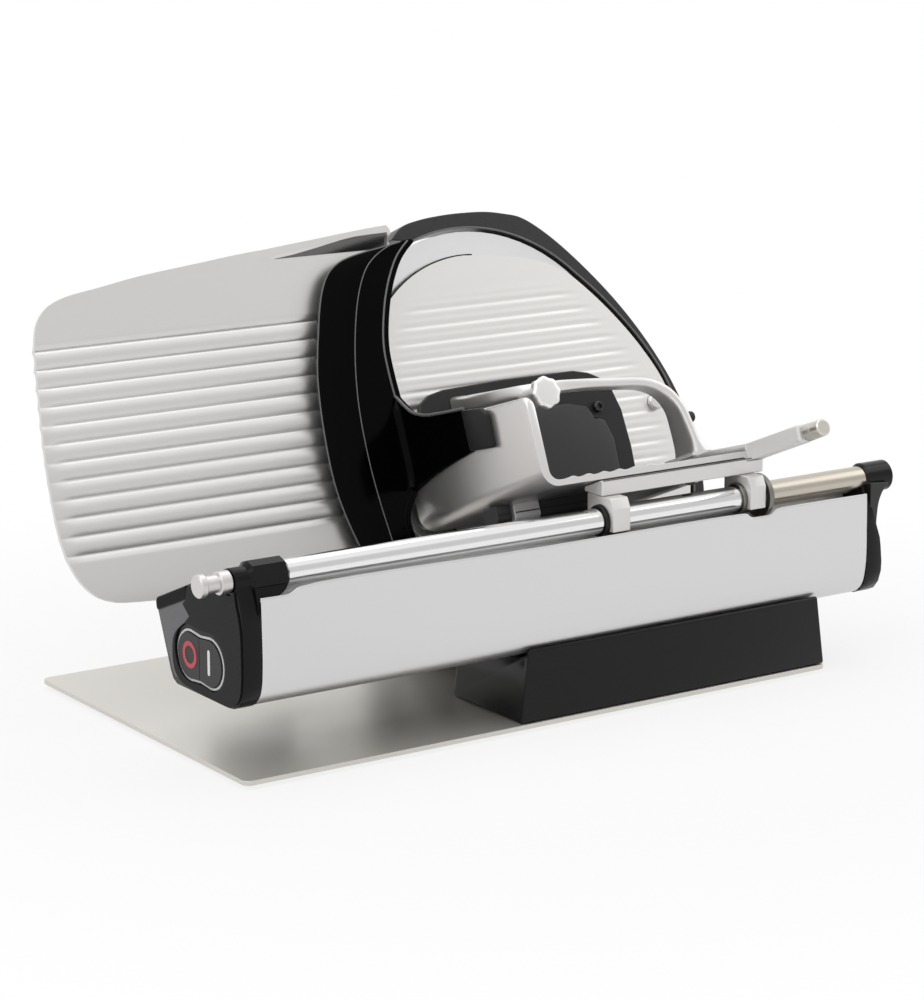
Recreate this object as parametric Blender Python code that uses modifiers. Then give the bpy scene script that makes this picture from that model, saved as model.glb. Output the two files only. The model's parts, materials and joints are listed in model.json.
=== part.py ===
"""Domestic gravity-feed meat slicer, modelled in metres with +Z up.

X runs along the beam from the operator's end, Y runs back from the front panel, and the origin is
the middle of the whole machine's footprint on the table. The blade, the gauge plate and the carriage
lean: their own frame keeps X, runs d into the machine square to the blade, and s up its face.
Sizes are written in millimetres from the base plate's front left corner.
"""
import math

import bmesh
import bpy
from mathutils import Matrix, Vector

MM = 0.001
SEAT = 0.3
TILT = math.radians(22.5)
PLANE_Y = 155.0
PLANE_Z = 87.0

# base plate, feet and pedestal
BASE_L = 428.0
BASE_W = 252.0
BASE_T = 3.0
BASE_CORNER = 5.0
FOOT_R = 12.0
FOOT_H = 2.5
FOOT_INSET = 26.0
FOOT_EDGE = 0.6
PEDESTAL_LEFT = 191.0
PEDESTAL_RIGHT = 427.0
PEDESTAL_DRAFT_LEFT = 6.0
PEDESTAL_DRAFT_RIGHT = 6.0
PEDESTAL_BACK = 75.0
PEDESTAL_FRONT = 0.8
PEDESTAL_TOP = 48.0
PEDESTAL_WALL = 4.0
PEDESTAL_EDGE = 2.4

# beam, front panel and end caps
ROD_Y = 15.0
ROD_Z = 116.5
ROD_R = 8.0
ROD_EDGE = 0.8
BEAM_LEFT = 12.0
BEAM_RIGHT = 459.4
BEAM_BOTTOM = 42.2
BEAM_BACK_D = -51.0
CHANNEL_Z = 99.2
CHANNEL_BACK = 27.4
PANEL_T = 2.0
PANEL_GAP = 0.3
PANEL_PROFILE = [(24.9, 105.9), (23.6, 103.6), (20.5, 102.1), (13.0, 101.7), (9.2, 103.0), (6.6, 104.6),
                 (4.6, 105.4), (2.9, 104.6), (1.8, 101.5), (1.0, 95.0), (0.4, 87.0),
                 (0.0, 76.0), (0.2, 66.0), (1.1, 57.5), (3.3, 50.6), (7.2, 46.0), (12.5, 43.2),
                 (19.0, 42.2)]
BEAM_TOP = [(79.0, 42.2), (82.6, 45.6), (99.7, 87.0), (98.3, 88.4), (29.8, 116.5)]
BEAM_HOLLOW = [(9.0, 96.2), (6.4, 80.0), (6.4, 66.0), (8.4, 56.0), (13.5, 49.6), (22.0, 47.2), (78.0, 45.8),
               (80.2, 48.6), (95.0, 85.4), (31.0, 111.2), (31.0, 96.2)]
CAP_OUTLINE = [(0.4, 58.0), (2.6, 50.6), (6.8, 45.4), (12.0, 42.8), (18.0, 42.0), (77.0, 42.0), (81.5, 44.2),
               (84.2, 48.5), (99.6, 85.6), (98.6, 89.4), (62.0, 104.6), (29.0, 118.4)]
CAP_FRONT = [(5.8, 109.5), (3.8, 104.5), (1.8, 98.0), (0.6, 88.0), (0.0, 75.0)]
CAP_HEAD_R = 7.6
CAP_HEAD_FROM = 66.0
CAP_HEAD_TO = 198.0
CAP_POCKET = [(4.2, 60.0), (6.4, 53.0), (12.0, 47.4), (19.0, 45.6), (76.0, 45.6), (80.0, 49.0), (95.0, 85.4),
              (62.0, 99.6), (30.0, 113.0), (20.0, 117.0), (11.0, 112.5), (7.6, 107.5), (4.8, 100.0),
              (4.0, 88.0)]
CAP_EDGE = 3.0
CAP_FACE_T = 5.6
LEFT_CAP_X = 0.0
LEFT_SLEEVE_START = 9.0
LEFT_SLEEVE_END = 35.5
SLEEVE_R = 10.4
SLEEVE_EDGE = 2.6
SLEEVE_SIDES = 10
BORE_GAP = 0.3
ROD_START = 20.8
ROD_SEAT = 20.0
ROD_END = 481.5
GEAR_ROOM_R = 5.9
GEAR_ROOM_X = 4.6
FAR_CAP_DEEP = 3.0
FAR_CAP_FRONT = [(466.4, 112.0), (465.4, 105.0), (465.2, 98.0), (466.8, 91.0), (470.4, 80.0), (472.4, 64.0),
                 (472.0, 36.0)]
RIGHT_SLEEVE_START = 463.6
RIGHT_SLEEVE_END = 485.5
RIGHT_SLEEVE_R = 9.8

# switch on the operator's end
SWITCH_Y = 49.0
SWITCH_Z = 63.2
LOBE_R = 13.6
LOBE_REACH = 11.4
WAIST_R = 15.0
BEZEL_OUT = 2.0
BEZEL_T = 2.6
BUTTON_STAND = 0.8
BUTTON_T = 2.4
BUTTON_SPLIT = 0.5
BUTTON_STEM = 4.0
STEM_R = 3.0
SWITCH_BODY = (34.0, 24.0, 14.0)
BUTTON_TRAVEL = 1.5

# slice thickness drive
KNOB_LEFT = -21.0
KNOB_HEAD_R = 6.8
KNOB_HEAD_T = 5.0
KNOB_NECK_R = 5.2
KNOB_FLANGE_X = -8.0
KNOB_GAP = 0.6
KNOB_SHAFT_R = 3.0
KNOB_SHAFT_END = 13.0
GEAR_X = 6.6
GEAR_T = 4.0
PINION_TEETH = 12
PINION_R = 4.5
IDLER_TEETH = 19
IDLER_R = 7.1
TOOTH_SHARE = 0.23
TOOTH_TOP = 0.55
TOOTH_ROOT = 0.75
MESH_GAP = 0.35
MESH_ANGLE = math.radians(-37.0)
IDLER_PIN_R = 2.4
RACK_S_LOW = -43.0
RACK_FRONT_D = -143.2
RACK_TEETH = 9
RACK_BACK_D = -84.0
LINK_T = 4.0
LINK_RIGHT = 114.0
LINK_S_HIGH = -38.6
SHAFT_XS = (76.0, 104.0)
SHAFT_S = -42.0
SHAFT_R = 5.0
SHAFT_CLEAR = 0.35
GUIDE_X = (62.0, 118.0)
GUIDE_S = (-56.0, -27.0)
GUIDE_D = (-50.7, -14.0)
CARRIER_D = (5.2, 11.5)
CARRIER_X = (60.0, 120.0)
CARRIER_S = (-54.0, 118.0)
CARRIER_RIB = 8.0
GAUGE_TRAVEL = 13.0

# gauge plate, blade and guards
BLADE_X = 298.0
BLADE_S = 78.0
BLADE_R = 112.5
BLADE_BORE = 15.3
BLADE_T = 4.4
BLADE_STEPS = 72


def by_blade(points):
    """Points given from the blade's centre, in the leaning plane."""
    return [(BLADE_X + a, BLADE_S + b) for a, b in points]


GAUGE_OUTLINE = [(BLADE_X - 70.0, -16.0), (29.0, -16.0), (0.0, -13.0), (-12.0, -7.5), (-20.0, 2.0), (-25.0, 15.0),
                 (-28.0, 31.0), (-28.0, 54.0), (-25.5, 84.0), (-22.0, 114.0), (-19.5, 135.0), (-17.0, 150.0),
                 (-13.0, 160.5), (-5.5, 168.5), (6.0, 173.5), (33.0, 178.0), (62.0, 182.5), (105.0, 187.0),
                 (134.0, 190.0), (BLADE_X - 119.0, 193.5), (BLADE_X - 73.0, 197.5), (BLADE_X - 55.0, 198.5),
                 (BLADE_X - 53.0, 195.0), (BLADE_X - 54.6, 188.0)]
GAUGE_CLEAR = 4.0
GAUGE_T = 2.6
GAUGE_RIB_FIRST = 17.5
GAUGE_RIB_PITCH = 11.4
GAUGE_RIBS = 12
GAUGE_RIB_DEEP = 1.7
GAUGE_ARC = (116.4, 234.0)
COVER_R = 96.0
COVER_D = -2.3
COVER_T = 1.6
COVER_RIB_DEEP = 0.5
COVER_RIBS = 11
COVER_RIB_FIRST = -4.0
COVER_RIB_PITCH = 13.6
COVER_ARC = (80.0, 282.0)
SHEET_SPARE = 10.0
COVER_EDGE = by_blade([(45.0, 90.5), (60.0, 86.5), (74.0, 80.0), (81.0, 75.0), (94.5, 61.6), (109.3, 44.0),
                       (124.0, 22.5), (136.3, -2.5), (141.3, -28.0), (142.0, -58.0), (135.6, -86.6),
                       (119.6, -102.8), (99.0, -110.0), (52.0, -103.0), (24.0, -94.0)])
RING_OUTER = by_blade([(-52.0, 111.0), (-42.0, 119.0), (-28.0, 122.5), (-8.0, 124.4), (6.0, 124.7),
                       (25.0, 124.0), (39.0, 121.6), (52.0, 118.0), (69.0, 106.0), (92.0, 82.5),
                       (118.0, 48.5), (138.0, 12.0), (149.0, -20.0), (153.0, -53.0), (148.0, -90.0),
                       (132.0, -114.0), (107.0, -124.0), (62.0, -127.0), (0.0, -125.6), (-36.0, -119.0),
                       (-47.0, -114.0)])
RING_INNER_R = 114.8
RING_ARC_LOW = (246.0, 290.0)
RING_INNER_SIDE = by_blade([(100.0, -114.0), (122.0, -106.0), (139.0, -88.0), (145.6, -58.0),
                            (144.6, -28.0), (139.4, -1.0), (127.0, 25.0), (112.0, 47.0), (97.0, 65.0)])
RING_ARC_HIGH = (43.0, 108.3)
RING_D = (-1.7, 17.7)
RING_EDGE = 2.2
FRAME_OUTLINE = by_blade([(-48.0, -129.7), (-62.0, -100.0), (-69.0, -38.0), (-65.0, 14.0), (-44.0, 54.0),
                          (-8.0, 78.0), (32.0, 108.0), (47.0, 116.0), (67.0, 104.0), (90.0, 81.0),
                          (116.0, 47.0), (136.0, 10.0), (147.0, -21.0), (151.0, -53.0), (146.0, -90.0),
                          (134.0, -110.0), (134.0, -129.7)])
FRAME_D = (18.0, 24.0)
POST_X = BLADE_X + 125.0
POST_S = BLADE_S - 17.0
POST_R = 7.0
COVER_HEAD_R = 5.6
COVER_HEAD_T = 3.6
COVER_SHANK_R = 2.5
COVER_SHANK_L = 12.0
BRIDGE_X = (205.0, 440.0)
BRIDGE_D = (-50.7, 24.0)
BRIDGE_S = (-66.0, -52.0)
BRIDGE_WALL = 4.0
BRIDGE_POCKETS = 4

# blade drive
PULLEY_R = 32.0
PULLEY_D = (4.7, 16.0)
SPIGOT_R = 15.0
SPIGOT_D = 1.6
BEARING_OUT = 12.6
BEARING_IN = 6.3
BEARING_W = 5.0
BEARING_DS = (4.0, 10.4)
AXLE_R = 6.0
AXLE_HEAD_R = 10.0
AXLE_HEAD_T = 5.0
MOTOR_S = 5.0
MOTOR_R = 33.0
MOTOR_D = (25.6, 80.0)
MOTOR_NOSE_R = 14.0
MOTOR_PULLEY_R = 11.0
MOTOR_SHAFT_R = 4.0
BELT_T = 1.8
BELT_D = (6.2, 14.6)
COVER_BOX_X = (BLADE_X - 62.0, BLADE_X + 74.0)
COVER_BOX_D = 24.4
COVER_BOX_S = (-62.4, 112.0)
COVER_BOX_BACK = 247.0
COVER_BOX_SHOULDER = 150.0
COVER_BOX_BOTTOM = 20.0
COVER_BOX_WALL = 3.0
COVER_BOX_EDGE = 7.0
VENTS = 8
VENT_PITCH = 11.0
VENT_W = 4.0
VENT_Z = (48.0, 104.0)
STAND_X = (BLADE_X - 36.0, BLADE_X + 48.0)
STAND_Y = (172.0, 240.0)
DEFLECTOR_PATH = [(BLADE_X - 69.0, 26.0), (BLADE_X - 86.0, 27.5), (BLADE_X - 101.0, 31.5),
                  (BLADE_X - 113.0, 39.0), (BLADE_X - 120.0, 50.0)]
DEFLECTOR_S = (-10.0, 128.0)
DEFLECTOR_T = 1.0
LUG_X = (BLADE_X - 76.0, BLADE_X - 66.0)
LUG_SS = (10.0, 60.0)
LUG_H = 9.0

# carriage
TRAY_X = 218.4
TRAY_D = (-149.0, -5.5)
WALL_T = 5.6
WALL_TOP = 64.0
FLOOR_LOW = -2.5
FLOOR_TOP = 1.2
FLOOR_RIB = 1.1
FLOOR_RIBS = 11
FLOOR_RIB_FROM = 240.0
FLOOR_RIB_PITCH = 11.6
CORNER_OUT = 11.0
CORNER_IN = 6.5
RAIL_X = 380.0
RAIL_S = 0.0
RAIL_R = 3.4
RAIL_CLEAR = 0.3
RAIL_WALL = 2.0
RAIL_ROOM = 4.6
RAIL_LOW = -5.2
RAIL_TOP = 9.4
RAIL_FALL_D = -112.0
ARM_TOP = 5.6
ARM_D = -202.0
ARM_BOSS = 12.0
RAIL_LUG_D = (-19.0, -8.0)
PIN_R = 5.3
PIN_L = 16.4
PIN_EDGE = 0.8
WALL_CUT = [(-170.0, 53.6), (-147.0, 53.6), (-100.0, 57.4), (-60.0, 59.6), (0.0, 61.0), (0.0, 90.0),
            (-170.0, 90.0)]
BAR_X = (258.0, 383.0)
BAR_OUTLINE = [(13.0, 131.8), (13.0, 141.2), (16.0, 140.9), (31.0, 134.7), (31.0, 131.8)]
BAR_NOTCH_X = 370.0
CLAMP_XS = ((258.7, 271.9), (364.8, 377.2))
CLAMP_OUTLINE = [(2.4, 111.2), (2.4, 125.5), (5.6, 131.5), (29.0, 131.5), (29.0, 121.5), (27.6, 118.5),
                 (27.6, 111.2)]
CLAMP_EDGE = 0.8
BUSH_R = 9.8
BUSH_XS = ((256.2, 274.0), (362.4, 380.6))
BUSH_RING_R = 14.0
BUSH_RING_X = 383.8
TRACK_X = (24.0, 446.0)
TRACK_D = (-74.0, -62.0)
TRACK_S = (-20.1, -15.0)
ROLLER_R = 4.4
ROLLER_W = 6.0
ROLLER_X = 300.0
ROLLER_PIN_R = 1.6
FORK_W = 2.0
FORK_L = 14.0
FORK_CROWN = 2.0

# hand guard
GUARD_D = (-11.4, -8.2)
GUARD_OUTLINE = [(172.0, -14.0), (168.0, 0.0), (163.4, 19.4), (161.0, 39.0), (161.6, 71.0), (165.1, 102.8),
                 (169.9, 128.2), (178.4, 153.3), (190.4, 171.8), (203.7, 180.4), (236.6, 190.8), (247.0, 192.0),
                 (251.0, 188.0), (249.5, 184.4), (238.0, 169.0), (228.1, 148.5), (221.2, 124.0), (218.4, 103.5),
                 (217.9, 84.0), (217.9, 26.0), (209.5, 18.0), (205.0, 7.4), (207.0, -14.0)]
GUARD_SIDE_X = (214.6, 217.9)
GUARD_SIDE = [(-9.6, 86.0), (-19.0, 78.2), (-26.0, 72.3), (-39.0, 67.3), (-57.0, 64.4), (-84.0, 61.2),
              (-84.0, 34.2), (-55.0, 31.8), (-34.0, 29.2), (-9.6, 25.0)]
GUARD_EDGE = 1.0
BRACKET_X = (213.8, 218.1)
BRACKET_OUTLINE = [(-84.4, 60.6), (-84.4, 34.4), (-108.8, 31.4), (-109.8, 52.2), (-105.2, 57.0)]
BRACKET_EDGE = 1.4

# pusher
HUB_D = (-96.0, -66.0)
HUB_HALF = 4.1
HUB_TOP = 12.0
HUB_FLANGE = 7.6
ARCH = [((384.0, -81.0, 12.4), (0, 12.5, 0), (7.0, 0, 0)),
        ((381.0, -82.0, 20.0), (0, 11.5, 0), (3.6, 0, 0.6)),
        ((378.0, -84.0, 32.0), (0, 10.0, 0), (3.2, 0, 0.5)),
        ((374.0, -86.0, 44.0), (0, 8.5, 0), (3.0, 0, 1.2)),
        ((365.5, -87.0, 54.5), (0, 7.5, 0), (2.2, 0, 2.4)),
        ((351.0, -88.0, 61.0), (0, 7.0, 0), (0.9, 0, 3.1)),
        ((328.0, -88.5, 63.7), (0, 6.5, 0), (0.3, 0, 3.1)),
        ((303.0, -89.0, 65.5), (0, 6.5, 0), (0.2, 0, 3.2)),
        ((284.0, -87.0, 66.4), (1.5, 6.5, 0), (0, 0, 3.8)),
        ((268.0, -79.0, 67.4), (4.0, 5.6, 0), (0, 0, 4.0)),
        ((254.0, -62.0, 69.0), (5.4, 3.6, 0), (0, 0, 4.0)),
        ((244.5, -42.0, 71.0), (6.0, 2.0, 0), (0, 0, 4.2)),
        ((240.0, -27.0, 72.4), (6.5, 1.0, 0), (0, 0, 4.5)),
        ((239.0, -18.4, 73.0), (7.0, 0, 0), (0, 0, 5.0))]
ARCH_CORNER_SHARE = 0.72
PLATE_D = (-18.0, -14.0)
PLATE_OUTLINE = [(226.6, 9.4), (226.6, 70.0), (230.0, 78.0), (237.5, 83.0), (249.0, 85.4), (296.0, 87.0),
                 (352.0, 86.8), (364.0, 84.2), (372.0, 80.2), (379.5, 72.7), (384.0, 57.0), (385.4, 32.0),
                 (384.6, 14.0), (371.0, 12.0), (371.0, 3.4), (232.6, 3.4), (228.4, 5.2)]
PAD_D = (-24.0, -18.3)
PAD_OUTLINE = [(252.0, 5.0), (252.0, 60.0), (258.0, 65.0), (338.0, 65.0), (353.0, 61.0), (357.0, 53.6),
               (364.5, 51.0), (368.8, 38.0), (367.8, 5.0)]
PAD_EDGE = 1.6
SPIKE_PITCH = 15.0
SPIKE_R = 2.6
SPIKE_H = 4.0
SPIKE_X = (244.0, 365.0)
SPIKE_S = (12.0, 73.0)
SPIKE_SINK = 1.0
LOBE_KNOB = (267.8, -98.0, 61.8)
LOBE_KNOB_R = 10.3
LOBE_DEPTH = 1.1
LOBES = 8
LOBE_KNOB_T = 6.0
LOBE_COLLAR_R = 8.0
LOBE_COLLAR_T = 3.6
LOBE_STEM_R = 3.0
LOBE_STEM_L = 11.0
ARCH_BOSS_R = 6.4
ARCH_BOSS_D = -79.0
BUMPER_R = 3.6
BUMPER_T = 6.0
BUMPER_AT = (381.2, -86.0, 36.0)


ORIGIN_X = (min(p[0] for p in GAUGE_OUTLINE) + RIGHT_SLEEVE_END) / 2
FRONT_Y = PLANE_Y + (ARM_D - SEAT - PIN_L) * math.cos(TILT) + (RAIL_S - PIN_R + PIN_EDGE) * math.sin(TILT)
ORIGIN_Y = (FRONT_Y + BASE_W) / 2


def world(x, y, z):
    """Place a point given from the base plate's front left corner, on its underside."""
    return Vector((x - ORIGIN_X, y - ORIGIN_Y, z + FOOT_H + SEAT)) * MM


def leaning(x, d, s):
    """Place a point given in the frame that leans with the blade."""
    y = PLANE_Y + d * math.cos(TILT) + s * math.sin(TILT)
    z = PLANE_Z - d * math.sin(TILT) + s * math.cos(TILT)
    return world(x, y, z)


def to_lean(y, z):
    """Turn an upright (y, z) into the leaning (d, s)."""
    a = y - PLANE_Y
    b = z - PLANE_Z
    return a * math.cos(TILT) - b * math.sin(TILT), a * math.sin(TILT) + b * math.cos(TILT)


def to_upright(d, s):
    """Turn a leaning (d, s) into the upright (y, z)."""
    y = PLANE_Y + d * math.cos(TILT) + s * math.sin(TILT)
    return y, PLANE_Z - d * math.sin(TILT) + s * math.cos(TILT)


UPRIGHT = (world, 0.0)
LEAN = (leaning, -TILT)
TURNS = {"x": (0.0, math.pi / 2, 0.0), "z": (0.0, 0.0, 0.0)}


def clear_scene():
    for obj in list(bpy.data.objects):
        bpy.data.objects.remove(obj, do_unlink=True)


def collection(name):
    made = bpy.data.collections.new(name)
    bpy.context.scene.collection.children.link(made)
    return made


def material(name, color, roughness, metallic):
    made = bpy.data.materials.new(name)
    made.use_nodes = True
    shader = made.node_tree.nodes["Principled BSDF"]
    shader.inputs["Base Color"].default_value = (*color, 1.0)
    shader.inputs["Roughness"].default_value = roughness
    shader.inputs["Metallic"].default_value = metallic
    made.diffuse_color = (*color, 1.0)
    return made


def finish(obj, look, cutter=False):
    """Give an object its material and collection; a cutter only guides Boolean modifiers."""
    home = CUTTERS if cutter else PARTS
    home.objects.link(obj)
    if cutter:
        obj.hide_render = True
        obj.display_type = "WIRE"
    elif look is not None:
        obj.data.materials.append(material(obj.name + "_material", *LOOKS[look]))
    return obj


def place(obj, frame, pivot):
    where, turn = frame
    obj.location = where(*pivot)
    obj.rotation_euler = (turn, 0.0, 0.0)


def middle(points, low, high, plane):
    """Centre of a slab, as a point of its frame."""
    a = (min(p[0] for p in points) + max(p[0] for p in points)) / 2
    b = (min(p[1] for p in points) + max(p[1] for p in points)) / 2
    c = (low + high) / 2
    return {"xz": (a, c, b), "yz": (c, a, b), "xy": (a, b, c)}[plane]


def slab(name, points, plane, low, high, frame, look=None, pivot=None):
    """Extrude a flat outline given in xy, xz or yz from low to high along the third axis."""
    center = pivot or middle(points, low, high, plane)
    curve = bpy.data.curves.new(name, "CURVE")
    curve.dimensions = "2D"
    curve.fill_mode = "BOTH"
    curve.extrude = (high - low) / 2 * MM
    spline = curve.splines.new("POLY")
    spline.points.add(len(points) - 1)
    for point, (a, b) in zip(spline.points, points):
        point.co = (a * MM, b * MM, 0.0, 1.0)
    spline.use_cyclic_u = True
    source = bpy.data.objects.new(name + "_outline", curve)
    bpy.context.scene.collection.objects.link(source)
    bpy.context.view_layer.update()
    graph = bpy.context.evaluated_depsgraph_get()
    mesh = bpy.data.meshes.new_from_object(source.evaluated_get(graph))
    bpy.data.objects.remove(source)
    bpy.data.curves.remove(curve)
    turn = {"xy": Matrix.Identity(3), "xz": Matrix(((1, 0, 0), (0, 0, -1), (0, 1, 0))),
            "yz": Matrix(((0, 0, 1), (1, 0, 0), (0, 1, 0)))}[plane]
    shift = {"xy": (0, 0, 1), "xz": (0, 1, 0), "yz": (1, 0, 0)}[plane]
    move = Matrix.Translation((Vector(shift) * (low + high) / 2 - Vector(center)) * MM)
    mesh.transform(move @ turn.to_4x4())
    shell = bmesh.new()
    shell.from_mesh(mesh)
    bmesh.ops.remove_doubles(shell, verts=shell.verts, dist=0.00001)
    bmesh.ops.recalc_face_normals(shell, faces=shell.faces)
    shell.to_mesh(mesh)
    shell.free()
    mesh.name = name
    obj = bpy.data.objects.new(name, mesh)
    finish(obj, look, cutter=look is None)
    place(obj, frame, center)
    return obj


def block(name, xs, ys, zs, frame, look=None, pivot=None):
    """A box between three pairs of limits in its frame."""
    center = pivot or tuple((low + high) / 2 for low, high in (xs, ys, zs))
    mesh = bpy.data.meshes.new(name)
    cube = bmesh.new()
    bmesh.ops.create_cube(cube, size=1.0)
    size = Vector((xs[1] - xs[0], ys[1] - ys[0], zs[1] - zs[0]))
    offset = Vector(tuple((low + high) / 2 for low, high in (xs, ys, zs))) - Vector(center)
    for vert in cube.verts:
        vert.co = (vert.co * size + offset) * MM
    cube.to_mesh(mesh)
    cube.free()
    obj = bpy.data.objects.new(name, mesh)
    finish(obj, look, cutter=look is None)
    place(obj, frame, center)
    return obj


def turned(name, profile, at, axis, frame, look=None, closed=False, steps=24):
    """Turn a profile of (radius, height) about an axis: "x", "z" or, leaning, "in"."""
    mesh = bpy.data.meshes.new(name)
    verts = [(radius * MM, 0.0, height * MM) for radius, height in profile]
    edges = [(i, i + 1) for i in range(len(profile) - 1)]
    if closed:
        edges.append((len(profile) - 1, 0))
    mesh.from_pydata(verts, edges, [])
    obj = bpy.data.objects.new(name, mesh)
    finish(obj, look, cutter=look is None)
    place(obj, frame, at)
    if axis == "in":
        obj.rotation_euler = (frame[1] - math.pi / 2, 0.0, 0.0)
    else:
        obj.rotation_euler = TURNS[axis]
    screw = obj.modifiers.new("turn", "SCREW")
    screw.steps = steps
    screw.render_steps = steps
    screw.use_merge_vertices = True
    screw.merge_threshold = 0.00002
    screw.use_smooth_shade = True
    return obj


def rod(name, radius, low, high, at, axis, frame, look=None, edge=0.0, steps=24):
    """A round bar from low to high along its axis, measured from at."""
    if edge:
        profile = [(0, high), (radius - edge, high), (radius, high - edge), (radius, low + edge),
                   (radius - edge, low), (0, low)]
    else:
        profile = [(0, high), (radius, high), (radius, low), (0, low)]
    return turned(name, profile, at, axis, frame, look, steps=steps)


def tube(name, outer, inner, low, high, at, axis, frame, look=None, steps=24):
    """A round sleeve from low to high along its axis."""
    profile = [(inner, high), (outer, high), (outer, low), (inner, low)]
    return turned(name, profile, at, axis, frame, look, closed=True, steps=steps)


def combine(obj, other, operation):
    boolean = obj.modifiers.new(operation.lower(), "BOOLEAN")
    boolean.operation = operation
    boolean.object = other
    boolean.solver = "EXACT"


def cut(obj, *cutters):
    for cutter in cutters:
        combine(obj, cutter, "DIFFERENCE")


def fuse(obj, *tools):
    for tool in tools:
        combine(obj, tool, "UNION")


def soften(obj, width, segments=2, angle=50.0):
    bevel = obj.modifiers.new("soften", "BEVEL")
    bevel.width = width * MM
    bevel.segments = segments
    bevel.limit_method = "ANGLE"
    bevel.angle_limit = math.radians(angle)


def round_off(obj, angle=40.0):
    """Shade the curved faces of a mesh object smooth."""
    obj.data.shade_smooth()
    obj.data.set_sharp_from_angle(angle=math.radians(angle))


def arc(center, radius, start, end, count):
    """Points of an arc, from start to end in degrees."""
    points = []
    for i in range(count + 1):
        a = math.radians(start + (end - start) * i / count)
        points.append((center[0] + radius * math.cos(a), center[1] + radius * math.sin(a)))
    return points


def offset_chain(points, distance):
    """Move an open chain sideways, to the left of its direction."""
    moved = []
    for i, (a, b) in enumerate(points):
        before = points[max(i - 1, 0)]
        after = points[min(i + 1, len(points) - 1)]
        run = Vector((after[0] - before[0], after[1] - before[1])).normalized()
        moved.append((a - run.y * distance, b + run.x * distance))
    return moved


def make_base_plate():
    c = BASE_CORNER
    corners = [((c, c), 180), ((BASE_L - c, c), 270), ((BASE_L - c, BASE_W - c), 0), ((c, BASE_W - c), 90)]
    outline = []
    for center, start in corners:
        outline += arc(center, c, start, start + 90, 5)
    return slab("base_plate", outline, "xy", 0.0, BASE_T, UPRIGHT, "steel")


def make_feet():
    places = {"front_left": (FOOT_INSET, FOOT_INSET), "front_right": (BASE_L - FOOT_INSET, FOOT_INSET),
              "rear_left": (FOOT_INSET, BASE_W - FOOT_INSET),
              "rear_right": (BASE_L - FOOT_INSET, BASE_W - FOOT_INSET)}
    for name, (x, y) in places.items():
        rod("foot_" + name, FOOT_R, -FOOT_H, 0.0, (x, y, -SEAT), "z", UPRIGHT, "rubber", FOOT_EDGE, 28)


def draft_ends(obj, low, high, left, right):
    """Lean a slab's two ends inwards as they rise."""
    mesh = obj.data
    zs = [vert.co.z for vert in mesh.vertices]
    xs = [vert.co.x for vert in mesh.vertices]
    bottom = min(zs)
    rise = (high - low) * MM
    middle_x = (min(xs) + max(xs)) / 2
    for vert in mesh.vertices:
        share = (vert.co.z - bottom) / rise
        vert.co.x += (left if vert.co.x < middle_x else -right) * share * MM


def make_pedestal():
    low = BASE_T + SEAT
    top = PEDESTAL_TOP
    under = BEAM_BOTTOM - 0.4
    outline = [(PEDESTAL_FRONT, low), (PEDESTAL_BACK, low), (PEDESTAL_BACK, under), (12.0, under), (6.6, 43.8),
               (3.4, top), (PEDESTAL_FRONT + 0.8, top)]
    body = slab("pedestal", outline, "yz", PEDESTAL_LEFT, PEDESTAL_RIGHT, UPRIGHT, "black_gloss")
    draft_ends(body, low, top, PEDESTAL_DRAFT_LEFT, PEDESTAL_DRAFT_RIGHT)
    soften(body, PEDESTAL_EDGE, 3, 60.0)
    wall = PEDESTAL_WALL
    room = block("pedestal_room", (PEDESTAL_LEFT + wall + PEDESTAL_DRAFT_LEFT,
                                   PEDESTAL_RIGHT - wall - PEDESTAL_DRAFT_RIGHT),
                 (PEDESTAL_FRONT + wall + 1.0, PEDESTAL_BACK - wall), (low - wall, under - wall), UPRIGHT)
    cut(body, room)
    return body


def beam_outline():
    front = [p for p in PANEL_PROFILE if p[1] < CHANNEL_Z - 2.0]
    inner = offset_chain(front, PANEL_T + PANEL_GAP)
    last = PANEL_PROFILE[-1]
    step = [(last[0] + PANEL_GAP + 0.4, inner[-1][1]), (last[0] + PANEL_GAP + 0.4, BEAM_BOTTOM)]
    top = [(CHANNEL_BACK, CHANNEL_Z), (inner[0][0] + 4.0, CHANNEL_Z), (inner[0][0] + 1.2, CHANNEL_Z - 3.2)]
    return inner + step + BEAM_TOP + top


def make_beam():
    body = slab("beam", beam_outline(), "yz", BEAM_LEFT, BEAM_RIGHT, UPRIGHT, "cast_grey")
    round_off(body)
    hollow = slab("beam_hollow", BEAM_HOLLOW, "yz", BEAM_LEFT - 5, BEAM_RIGHT + 5, UPRIGHT)
    cut(body, hollow)
    for x in SHAFT_XS:
        hole = rod("beam_hole", SHAFT_R + 1.0, -14.0, 14.0, (x, BEAM_BACK_D, SHAFT_S), "in", LEAN, steps=24)
        cut(body, hole)
    return body


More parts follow.
